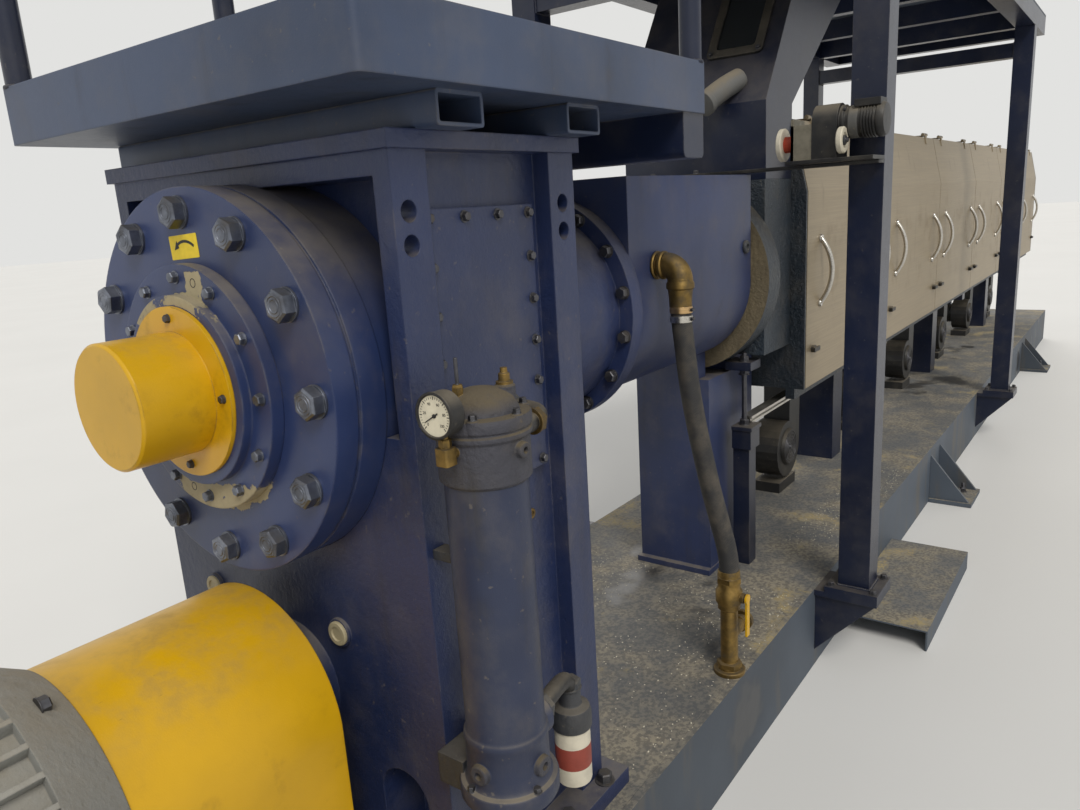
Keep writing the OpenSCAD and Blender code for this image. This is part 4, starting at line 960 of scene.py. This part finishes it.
piece.blocks(((-1.971, -0.455, 0.642), (-1.871, -0.397, 0.700)),
             ((-1.936, -0.455, 1.045), (-1.906, -0.397, 1.061)), finish="dark_iron")
piece.bolts([(-1.957, -0.455, 0.671)], -Y, 0.014, 0.009, seed=20)
piece.bolts(ring_places(FILTER + Z * 0.6788, Z, 0.077, 4, 75), Z, 0.012, 0.008, seed=22)
piece.make("oil_filter")

piece = Piece("filter_head", "filter_blue")
profile = [(0.0668, 1.2005), (0.0725, 1.206), (0.0725, 1.270), (0.0765, 1.275), (0.0765, 1.281),
           (0.0738, 1.284), (0.0738, 1.287), (0.0762, 1.288), (0.0772, 1.291), (0.0772, 1.303),
           (0.0752, 1.307), (0.0590, 1.309), (0.0570, 1.316), (0.0500, 1.327), (0.0390, 1.336),
           (0.0250, 1.342), (0.0110, 1.345), (0, 1.346)]
piece.add(turned(profile, 64), FILTER_FOOT, "filter_cast")
lugs = ring_places(FILTER, Z, 0.0690, 6, 30)
for lug in lugs:
    piece.add(disc(0.0095, 0.022, 0.002, 20), shift(lug + Z * 1.288), "filter_cast")
piece.bolts([lug + Z * 1.310 for lug in lugs], Z, 0.011, 0.007, seed=21)
plug = [(0.0050, 0.074), (0.0055, 0.0815), (0.0110, 0.0815), (0.0125, 0.0800), (0.0140, 0.068)]
piece.add(turned(plug, 24), facing(FILTER + Z * 1.255, -Y), "filter_cast")
vent = FILTER + Vector((0.036, -0.020, 1.310))
piece.add(disc(0.0165, 0.034, 0.003), shift(vent), "filter_cast")
cap = [(0.0135, 0), (0.0135, 0.004), (0.0092, 0.005), (0.0088, 0.016), (0.0060, 0.018),
       (0.0055, 0.025), (0, 0.026)]
piece.add(turned(cap, 24), shift(vent + Z * 0.034), "brass")
pin = FILTER + Vector((-0.032, 0.015, 1.326))
piece.bolts([pin], Z, 0.016, 0.026, washer=1.2, seed=23, finish="brass")
piece.add(disc(0.0030, 0.068, 0.0006, 12), shift(pin), "bolt_steel")
nipple = facing(FILTER + Vector((0, -0.006, 1.262)), -X)
piece.add(turned([(0.0085, 0.070), (0.0085, 0.092)], 20), nipple, "brass")


def oil_line(piece, route, unions):
    """A black oil line, with its (place, axis, flats, height, seed, finish) union nuts."""
    piece.add(tube(smooth_route(route), 0.0165, 20), finish="black_paint")
    for place, axis, flats, height, seed, finish in unions:
        piece.bolts([place], axis, flats, height, washer=1.02, seed=seed, finish=finish)


oil_line(piece,
         [(-1.852, -0.508, 1.252), (-1.800, -0.500, 1.252), (-1.750, -0.488, 1.251),
          (-1.712, -0.462, 1.250), (-1.694, -0.425, 1.249), (-1.690, -0.376, 1.248)],
         [((-1.846, -0.509, 1.252), X, 0.040, 0.018, 24, "dark_iron"),
          ((-1.690, -0.376, 1.248), -Y, 0.044, 0.018, 25, "dark_iron"),
          ((-1.772, -0.494, 1.2515), X, 0.040, 0.016, 26, "brass")])
piece.make("oil_filter_head")

CAN = shift((-1.673, -0.470, 0))
piece = Piece("small_filter", "cream_plastic")
can = [(0.030, 0.480), (0.0345, 0.483), (0.0360, 0.488), (0.0360, 0.600), (0.0350, 0.604)]
band = [(0.0361, 0.520), (0.0364, 0.521), (0.0364, 0.566), (0.0361, 0.567)]
head = [(0.0395, 0.603), (0.0405, 0.606), (0.0405, 0.634), (0.0370, 0.646), (0.0230, 0.652),
        (0.0210, 0.656), (0.0210, 0.690)]
for profile, finish_name in ((can, "cream_plastic"), (band, "band_red"), (head, "dark_iron")):
    piece.add(turned(profile), CAN, finish_name)
oil_line(piece,
         [(-1.830, -0.512, 0.738), (-1.790, -0.506, 0.740), (-1.745, -0.494, 0.734),
          (-1.700, -0.478, 0.716), (-1.674, -0.470, 0.684)],
         [((-1.826, -0.512, 0.738), X, 0.042, 0.016, 27, "dark_iron"),
          ((-1.673, -0.470, 0.684), Z, 0.040, 0.016, 28, "dark_iron")])
piece.blocks(((-1.693, -0.440, 0.608), (-1.653, -0.361, 0.640)), finish="dark_iron")
piece.make("spin_on_filter")

piece = Piece("gauge", "gauge_cream")
dial = facing((-2.0155, -0.520, 1.325), -X)
case = [(0.026, -0.020), (0.0335, -0.014), (0.0340, 0.010), (0.0350, 0.0115), (0.0350, 0.0150),
        (0.0312, 0.0158), (0.0300, 0.0128)]
piece.add(turned(case), dial, "black_paint")
piece.add(turned([(0.0303, 0.0125), (0.0303, 0.0130)]), dial)
marks = grow(DIAL_MARKS, [(0, 0, 0)], {"Count": 31, "Radius": 0.0262, "Sweep": radians(270),
                                       "Length": 0.62})
piece.add(marks, dial @ shift((0, 0, 0.0131)), "mark_black")
for step in range(6):
    turn = radians(-135 + 54 * step)
    at = shift((0.0190 * sin(turn), 0.0190 * cos(turn), 0.0132))
    piece.add(number(str(20 * step), 0.0062), dial @ at, "mark_black")
needle = plate([(-0.0012, -0.008), (0.0012, -0.008), (0.0005, 0.0225), (-0.0005, 0.0225)], 0.0004)
piece.add(needle, dial @ shift((0, 0, 0.0138)) @ Matrix.Rotation(2.1, 4, "Z"), "mark_black")
hub = [(0.0032, 0), (0.0030, 0.0016), (0, 0.0020)]
piece.add(turned(hub, 20), dial @ shift((0, 0, 0.0131)), "black_paint")
stem = Vector((-2.012, -0.520, 1.248))
piece.add(plate(rounded(0.024, 0.024, 0.004, 3), 0.026), shift(stem), "brass")
piece.bolts([stem + Z * 0.026], Z, 0.017, 0.012, washer=0.9, seed=29, finish="brass")
piece.add(disc(0.0065, 0.026, 0.0005, 16), shift(stem + Z * 0.028), "brass")
piece.make("pressure_gauge")

# Water line
piece = Piece("water_line_fittings", "brass")
ELBOW, ELBOW_BEND = Vector((-0.895, -0.294, 1.437)), 0.040
INLET = ELBOW + Y * 0.029
bend = [ELBOW + Vector((0, -y, z - ELBOW_BEND)) for z, y in arc(ELBOW_BEND, 12, 0, 90)]
piece.add(tube([INLET, ELBOW + Y * 0.012], 0.027, 28))
piece.add(tube(bend, 0.033, 28))
for at, depth in ((INLET, 0.009), (ELBOW + Y * 0.012, 0.012)):
    piece.add(disc(0.037, depth, 0.003), facing(at, -Y))
leg = [(0.0295, 1.330), (0.0300, 1.350), (0.0325, 1.374), (0.0365, 1.378), (0.0365, 1.390),
       (0.0331, 1.396), (0.0331, 1.402)]
piece.add(turned(leg, 36), shift((-0.895, -0.334, 0)))
VALVE = Vector((-0.870, -0.452, 0))
body = [(0.044, 0.290), (0.044, 0.300), (0.042, 0.302), (0.0245, 0.304), (0.0240, 0.483),
        (0.031, 0.488), (0.031, 0.499), (0.037, 0.510), (0.037, 0.540), (0.031, 0.551),
        (0.031, 0.562), (0.024, 0.564), (0.024, 0.578), (0.030, 0.580), (0.0305, 0.596),
        (0.0285, 0.602)]
piece.add(turned(body, 36), shift(VALVE))
piece.bolts([VALVE + Z * 0.562, VALVE + Z * 0.302], Z, 0.062, 0.017, washer=0.9, seed=32,
            finish="brass")
lever_axis = facing(VALVE + Z * 0.525, -Y)
piece.add(disc(0.0140, 0.046, 0.001, 24), lever_axis)
piece.add(disc(0.0085, 0.0502, 0.0005, 16), lever_axis, "bolt_steel")
branch = [(0.020, 0), (0.020, 0.064), (0.0245, 0.066), (0.0245, 0.078), (0.020, 0.080),
          (0.020, 0.090), (0.030, 0.091), (0.030, 0.103), (0.028, 0.104)]
piece.add(turned(branch, 28), facing(VALVE + Z * 0.405, X))
piece.make("water_fittings")

piece = Piece("hose_clamps", "bright_steel")
band = [(0.0270, -0.0085), (0.0296, -0.0085), (0.0302, 0), (0.0296, 0.0085), (0.0270, 0.0085)]
screw = [(0.0045, 0), (0.0045, 0.014), (0.0035, 0.016)]
for z, finish_name in ((1.322, "clamp_bronze"), (1.298, "bright_steel")):
    at = shift((-0.895, -0.335, z))
    piece.add(turned(band, 36), at, finish_name)
    piece.add(turned(screw, 12), at @ facing((-0.008, -0.0325, 0), X), "bolt_steel")
piece.make()

# Feed section
piece = Piece("feed_plugs", "dark_iron")
plug = [(0.021, 0), (0.021, 0.007), (0.018, 0.010), (0.0105, 0.010), (0.0100, 0.004)]
for side in (-1, 1):
    piece.add(turned(plug, 24), facing((-0.3015, side * 0.265, 1.442), side * Y))
piece.make()

SLOPE = Vector((0.442, 0, 0.662)).normalized()
SLOPE_OUT = Vector((-SLOPE.z, 0, SLOPE.x))
piece = Piece("sight_window", "black_paint")
window_at = Vector((-0.127, -0.11, 1.900)) + SLOPE * ((2.195 - 1.900) / SLOPE.z)
window = facing(window_at, SLOPE_OUT, SLOPE)
piece.add(ring_plate(rounded(0.200, 0.325, 0.018), rounded(0.140, 0.262, 0.012), 0.010), window)
piece.add(plate(rounded(0.141, 0.263, 0.012), 0.0045), window, "window_plastic")
places = [window @ Vector((x, y, 0.010)) for x, y in four(0.085, 0.147)]
piece.bolts(places, SLOPE_OUT, 0.013, 0.008, seed=31)
piece.make()

piece = Piece("drain_stub", "column_navy")
stub = [Vector((-0.085, -0.155, 1.978)), Vector((-0.150, -0.130, 1.948)),
        Vector((-0.228, -0.100, 1.902))]
piece.add(tube(smooth_route(stub), 0.036, 28), finish="dusty_pipe")
piece.add(turned([(0.0340, -0.010), (0.0405, -0.010), (0.0420, 0.010), (0.0340, 0.012)], 28),
          facing(stub[2], stub[2] - stub[1]), "dusty_pipe")
piece.make()

# Small gearmotor over the feed
piece = Piece("gearmotor_plate", "column_navy")
piece.add(plate(rounded(0.060, 1.324, 0.003, 2), 0.010), shift((-0.260, 0, 1.670)), "black_paint")
piece.bolts([(-0.262, y, 1.680) for y in (-0.08, 0.08, 0.45, 0.60)], Z, 0.016, 0.010, seed=34)
piece.make("gearmotor_bar")

SHAFT = Vector((-0.305, 0, 1.741))
piece = Piece("small_gearmotor", "black_paint")
arch = [(x, y + 0.050) for x, y in arc(0.052, 12, 0, 180)]
piece.add(plate([(0.052, -0.050), *arch, (-0.052, -0.050)], 0.072), facing(SHAFT - Y * 0.562, Y))
piece.blocks(((-0.365, -0.665, 1.680), (-0.240, -0.415, 1.691)))
piece.blocks(((-0.352, -0.436, 1.690), (-0.258, -0.428, 1.808)),
             ((-0.352, -0.490, 1.690), (-0.346, -0.428, 1.790)), finish="bracket_grey")
case = facing(SHAFT + Vector((0.010, -0.560, 0.047)), -Y)
profile = [(0.050, 0), (0.050, 0.012), (0.045, 0.016), (0.045, 0.100), (0.048, 0.102),
           (0.048, 0.112), (0.043, 0.122), (0, 0.124)]
piece.add(turned(profile, 40), case)
fin = [(0.0450, 0), (0.0480, 0.001), (0.0480, 0.004), (0.0450, 0.005)]
for i in range(5):
    piece.add(turned(fin, 36), case @ shift((0, 0, 0.060 + 0.008 * i)))
band = [(0.0452, 0), (0.0456, 0.001), (0.0456, 0.024), (0.0452, 0.025)]
piece.add(turned(band, 40), case @ shift((0, 0, 0.026)), "dusty_pipe")
piece.blocks(((-0.330, -0.672, 1.826), (-0.262, -0.600, 1.846)))
piece.bolts([case @ Vector((x, y, 0.012)) for x, y in four(0.036, 0.036)], -Y, 0.009, 0.006, seed=35)
pulley = facing(SHAFT + Vector((-0.044, -0.566, -0.003)), -Y)
profile = [(0.034, 0), (0.037, 0.003), (0.037, 0.014), (0.034, 0.017), (0.022, 0.017),
           (0.021, 0.013)]
piece.add(turned(profile, 40), pulley, "cream_plastic")
piece.add(disc(0.0145, 0.020, 0.002), pulley, "dark_iron")
piece.bolts([pulley @ Vector((0, 0, 0.020))], -Y, 0.012, 0.006, seed=36)
shaft = facing(SHAFT - Y * 0.490, Y)
profile = [(0.020, 0), (0.020, 0.022), (0.014, 0.024), (0.014, 0.060), (0.017, 0.062),
           (0.017, 0.070)]
piece.add(turned(profile, 28), shaft, "bolt_steel")
piece.add(disc(0.0235, 0.032, 0.002), shaft @ shift((0, 0, 0.064)), "signal_red")
profile = [(0.046, 0.094), (0.048, 0.096), (0.048, 0.107), (0.046, 0.109), (0.020, 0.109),
           (0.018, 0.105)]
piece.add(turned(profile), shaft, "cream_plastic")
piece.add(disc(0.010, 0.116, 0.001, 20), shaft, "bolt_steel")
piece.make("gearmotor")

# Adjusting post under the feed housing
piece = Piece("adjusting_post_dressed", "column_navy")
piece.blocks(((-0.183, -0.230, DECK_Z), (-0.123, -0.170, 0.800)),
             ((-0.193, -0.240, 0.730), (-0.113, -0.170, 0.798)),
             ((-0.198, -0.245, 0.798), (-0.108, -0.170, 0.812)),
             ((-0.178, -0.234, 1.010), (-0.090, -0.140, 1.040)))
ROD = Vector((-0.153, -0.200, 0))
piece.add(disc(0.009, 0.258, 0.001, 20), shift(ROD + Z * 0.812), "bolt_steel")
nuts = [ROD + Z * height for height in (0.812, 0.9925, 1.040)]
piece.bolts(nuts, Z, 0.030, 0.016, washer=1.1, seed=37)
piece.make("adjusting_post")

# Portals, platform and anchors
piece = Piece("column_bolts", "dark_iron")
places = [(x + dx, y + dy, PLATE_Z) for x, y in COLUMNS for dx, dy in four(0.068, 0.068)]
piece.bolts(places, Z, 0.019, 0.013, washer=1.25, seed=41)
piece.make()

piece = Piece("anchor_bolts", "dark_iron")
places = [(x + dx, y, 0.020) for x in (-1.890, 1.680, 5.250) for dx, y in four(0.055, 0.624)]
piece.bolts(places, Z, 0.024, 0.020, washer=1.4, seed=43)
stud = [(0.008, 0), (0.008, 0.046), (0.0065, 0.049)]
for place in places:
    piece.add(turned(stud, 12), shift(place), "bolt_steel")
piece.make()

TRAY_X, TRAY_Z = -1.5825, 1.886
TRAY_MIDDLE = shift((TRAY_X, 0, 0))
piece = Piece("platform_body", "platform_blue")
outer, inner = rounded(1.005, 1.000, 0.014), rounded(0.905, 0.900, 0.012)
piece.add(stacked((outer, 1.780), (outer, TRAY_Z), (inner, TRAY_Z), (inner, 1.866)), TRAY_MIDDLE)
piece.add(block((-0.4515, -0.4490, 1.8662), (0.4515, 0.4490, 1.8672)), TRAY_MIDDLE, "tread_plate")
for x in (-1.845, -1.505):
    piece.add(ring_plate(rounded(0.108, 0.052, 0.006, 3), rounded(0.096, 0.040, 0.003, 3), 0.908),
              facing((x, -0.454, 1.754), Y))
beam = plate(rounded(0.096, 0.104, 0.014), 0.988)
piece.add(beam, facing((-1.134, -0.494, 1.739), Y), "column_navy")
piece.make("platform_tray")

RAIL_X, RAIL_Y, RAIL_TOP = (-2.060, -1.105), 0.475, 2.526
POSTS = [(x, y) for x in RAIL_X for y in (-RAIL_Y, RAIL_Y)] + [(TRAY_X, RAIL_Y)]
piece = Piece("guard_rail", "column_navy")
knob = [(radius, height) for height, radius in arc(-0.024, 12, 0, -180)]
for x, y in POSTS:
    piece.add(tube([(x, y, TRAY_Z), (x, y, RAIL_TOP)], 0.024, 24))
    piece.add(turned(knob, 24), shift((x, y, RAIL_TOP)))
for z in (RAIL_TOP, 2.206):
    for y in (-RAIL_Y, RAIL_Y):
        piece.add(tube([(RAIL_X[0], y, z), (RAIL_X[1], y, z)], 0.0235, 24))
    for x in RAIL_X:
        piece.add(tube([(x, -RAIL_Y, z), (x, RAIL_Y, z)], 0.0235, 24))
piece.make("platform_frame")

piece = Piece("column_welds", "column_navy")
for x, y in COLUMNS:
    piece.weld([(x + s * 0.051, y + t * 0.051, PLATE_Z + 0.001) for s, t in AROUND], 0.010)
for x, y in POSTS:
    piece.weld(ring_places((x, y, TRAY_Z), Z, 0.025, 16), 0.008)
for x, y in COLUMNS:
    inside = y - 0.050 if y > 0 else y + 0.050
    piece.weld([(x + s * 0.041, inside, 2.330 + t * 0.041) for s, t in AROUND], 0.009)
piece.make(crease=60)

# Motor
MOTOR_LOW, MOTOR_HIGH, EYE_X = -3.592, -2.548, -3.070
piece = Piece("motor_fixings", "motor_grey")
piece.bolts(ring_places((-2.447, 0, MOTOR_Z), X, 0.262, 8, 22.5), X, 0.022, 0.014, seed=51)
piece.add(hoop(0.034, 0.010), facing((EYE_X, 0, MOTOR_Z + 0.330), Y))
eye_foot = [(0.030, 0), (0.028, 0.008), (0.016, 0.012)]
piece.add(turned(eye_foot, 24), shift((EYE_X, 0, MOTOR_Z + 0.288)))
lid = facing((EYE_X, 0.440, 0.910), Y)
piece.add(plate(rounded(0.396, 0.286, 0.025), 0.008), lid)
piece.bolts([lid @ Vector((x, y, 0.008)) for x, y in four(0.175, 0.120)], Y, 0.012, 0.007, seed=53)
for side in (-1, 1):
    piece.blocks(((MOTOR_LOW, side * 0.3485 - 0.0265, DECK_Z),
                  (MOTOR_HIGH, side * 0.3485 + 0.0265, PLATE_Z)))
places = [(x, y, PLATE_Z) for x in (MOTOR_LOW + 0.21, MOTOR_HIGH - 0.21) for y in (-0.350, 0.350)]
piece.bolts(places, Z, 0.036, 0.024, washer=1.4, seed=54)
for radius in (0.075, 0.110, 0.145, 0.180, 0.215):
    piece.add(hoop(radius, 0.0025, 48, 6), facing((-3.952, 0, MOTOR_Z), X), "bolt_steel")
piece.make()

GUARD_FOOT = 0.295
piece = Piece("coupling_guard_feet", "guard_yellow")
for side in (-1, 1):
    piece.blocks(((-2.400, side * 0.2465 - 0.0185, DECK_Z),
                  (-2.035, side * 0.2465 + 0.0185, GUARD_FOOT)))
places = [(x, y, GUARD_FOOT) for x in (-2.365, -2.2175, -2.070) for y in (-0.249, 0.249)]
piece.bolts(places, Z, 0.016, 0.010, washer=1.3, seed=55)
piece.make()

piece = Piece("foot_bolts", "dark_iron")
places = [(x, y, 0.330) for x in (-1.925, -1.780, -1.635, -1.490) for y in (-0.421, 0.421)]
piece.bolts(places, Z, 0.030, 0.020, washer=1.3, seed=57)
piece.make()

# Hopper
HOPPER_X = 0.634


def round_hopper(x, y, z, along, across):
    """Places on the four sides of a rectangle round the hopper's axis."""
    places = [(HOPPER_X + side * x, step, z) for side in (-1, 1) for step in across]
    return places + [(HOPPER_X + step, side * y, z) for side in (-1, 1) for step in along]


piece = Piece("hopper_stiffeners", "platform_blue")
for z in (3.012, 3.215, 3.418):
    piece.add(ring_plate(rounded(1.128, 1.068, 0.004, 2), rounded(1.060, 1.000, 0.003, 2), 0.008),
              shift((HOPPER_X, 0, z)))
places = round_hopper(0.3495, 0.295, 2.582, (-0.28, -0.14, 0, 0.14, 0.28),
                      (-0.25, -0.125, 0, 0.125, 0.25))
piece.bolts(places, Z, 0.019, 0.012, washer=1.25, seed=63)
piece.bolts(ring_places((HOPPER_X, 0, 3.534), Z, 0.108, 8), -Z, 0.013, 0.008, seed=64)
steps = (-0.4, -0.2, 0, 0.2, 0.4)
piece.bolts(round_hopper(0.530, 0.500, 3.444, steps, steps), Z, 0.013, 0.008, seed=65)
piece.make()

# Covers
COVER_WIDTH = 1.130
SEAMS = [0.115 + COVER_WIDTH * i for i in range(7)]
piece = Piece("hinge_screws", "bright_steel")
places = [(x + dx, y, 1.856) for low, high in zip(SEAMS, SEAMS[1:])
          for x in (low + 0.2, high - 0.2) for dx, y in four(0.0305, 0.205)]
piece.bolts(places, Z, 0.009, 0.003, sides=12, crown=0.6, seed=71)
piece.make()

FAN_Z = 0.485
piece = Piece("fan_grilles", "black_paint")
hub = [(0.012, -0.001), (0.010, 0.004), (0, 0.005)]
fin = [(0.079, 0), (0.088, 0.001), (0.088, 0.004), (0.079, 0.005)]
for fan_x in (low + COVER_WIDTH / 2 for low in SEAMS[:6]):
    at = facing((fan_x, -0.0745, FAN_Z), -Y)
    for radius in (0.018, 0.032, 0.046, 0.060, 0.072):
        piece.add(hoop(radius, 0.0017, 32, 5), at, "bolt_steel")
    piece.add(turned(hub, 20), at, "bolt_steel")
    piece.add(turned([(0.086, 0), (0.078, 0.014)], 32), facing((fan_x, -0.060, FAN_Z), -Y))
    for turn in range(45, 360, 90):
        spoke = block((-0.0016, 0.010, -0.0016), (0.0016, 0.074, 0.0016))
        piece.add(spoke, at @ Matrix.Rotation(radians(turn), 4, "Z"), "bolt_steel")
    for i in range(7):
        piece.add(turned(fin, 32), facing((fan_x, 0.085 + 0.016 * i, FAN_Z), Y))
piece.make()

BAR_Y, BAR_RADIUS, BAR_ENDS = -0.335, 0.009, (1.1925, 1.4325)
foot = [(0.0145, 0), (0.0145, 0.004), (0.0120, 0.009), (0, 0.010)]
for i, cover in enumerate(COVERS, 1):
    bars = [v.co.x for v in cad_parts[cover].data.vertices
            if v.co.y < BAR_Y and v.co.z > LATCH_Z]
    piece = Piece(f"handle_feet_{i}", "bright_steel", cover)
    for x in (min(bars) + BAR_RADIUS, max(bars) - BAR_RADIUS):
        for z in BAR_ENDS:
            piece.add(turned(foot, 24), facing((x, -0.3202, z), -Y))
    piece.make()

# Ends of the barrel
piece = Piece("end_bolts", "dark_iron")
piece.bolts(ring_places((6.960, 0, SCREW_Z), X, 0.222, 12, 15), X, 0.030, 0.019, seed=73)
places = [(6.895, y, z) for z in (0.96, 1.28, 1.56) for y in (-0.296, 0.296)]
piece.bolts(places, X, 0.013, 0.008, seed=74)
piece.make()

# Granules on the deck of the base
SPILL_Z = DECK_Z + 0.0005
piece = Piece("spilt_granules", "cream_plastic")
for (left, right), (near, far), seed in (((-1.400, -0.350), (-0.480, -0.060), 61),
                                         ((0.080, 1.150), (-0.480, -0.260), 62),
                                         ((-1.400, -0.350), (0.060, 0.480), 63)):
    patch = [(left, near, SPILL_Z), (right, near, SPILL_Z), (right, far, SPILL_Z),
             (left, far, SPILL_Z)]
    values = {"Density": 2600.0, "Size": 0.0022, "Seed": seed}
    piece.add(grow(GRANULES, patch, values, faces=[(0, 1, 2, 3)]))
piece.make()


# Studio
def studio():
    """Pale floor, pale surroundings and soft light from above and from both ends."""
    bm = bmesh.new()
    bmesh.ops.create_grid(bm, x_segments=1, y_segments=1, size=60.0)
    floor_mesh = bpy.data.meshes.new("floor")
    bm.to_mesh(floor_mesh)
    bm.free()
    f = Finish("studio_floor")
    pale = f.mix(f.noise(0.6, 3), srgb(214, 213, 210), srgb(222, 221, 218))
    floor_mesh.materials.append(f.shader(pale, 0.75))
    floor = bpy.data.objects.new("floor", floor_mesh)
    scene.collection.objects.link(floor)
    floor.location.z = -0.001
    world = bpy.data.worlds.new("studio")
    scene.world = world
    world.use_nodes = True
    world.node_tree.nodes.clear()
    board = Board(world.node_tree)
    ray = [board.node("ShaderNodeLightPath", out=name)
           for name in ("Is Camera Ray", "Is Glossy Ray", "Is Transmission Ray")]
    seen = board.maths("MAXIMUM", board.maths("MAXIMUM", ray[0], ray[1]), ray[2])
    pale = board.node("ShaderNodeBackground", {}, {"Color": srgb(226, 226, 224), "Strength": 1.0})
    soft = board.node("ShaderNodeBackground", {}, {"Color": (0.96, 0.98, 1.0, 1.0), "Strength": 0.5})
    both = board.node("ShaderNodeMixShader", {}, {0: seen, 1: soft, 2: pale})
    board.node("ShaderNodeOutputWorld", {}, {"Surface": both})
    for name, power, angle, aim in (("key", 1.9, 24, (0.50, 0.62, -0.85)),
                                    ("back", 0.8, 40, (-0.7, -0.35, -0.7))):
        lamp = bpy.data.lights.new(name, "SUN")
        lamp.energy, lamp.angle = power, radians(angle)
        lamp.color = (1.0, 0.97, 0.92)
        holder = bpy.data.objects.new(name, lamp)
        holder.rotation_euler = Vector(aim).to_track_quat("-Z", "Y").to_euler()
        scene.collection.objects.link(holder)
    scene.view_settings.view_transform = "Standard"


studio()
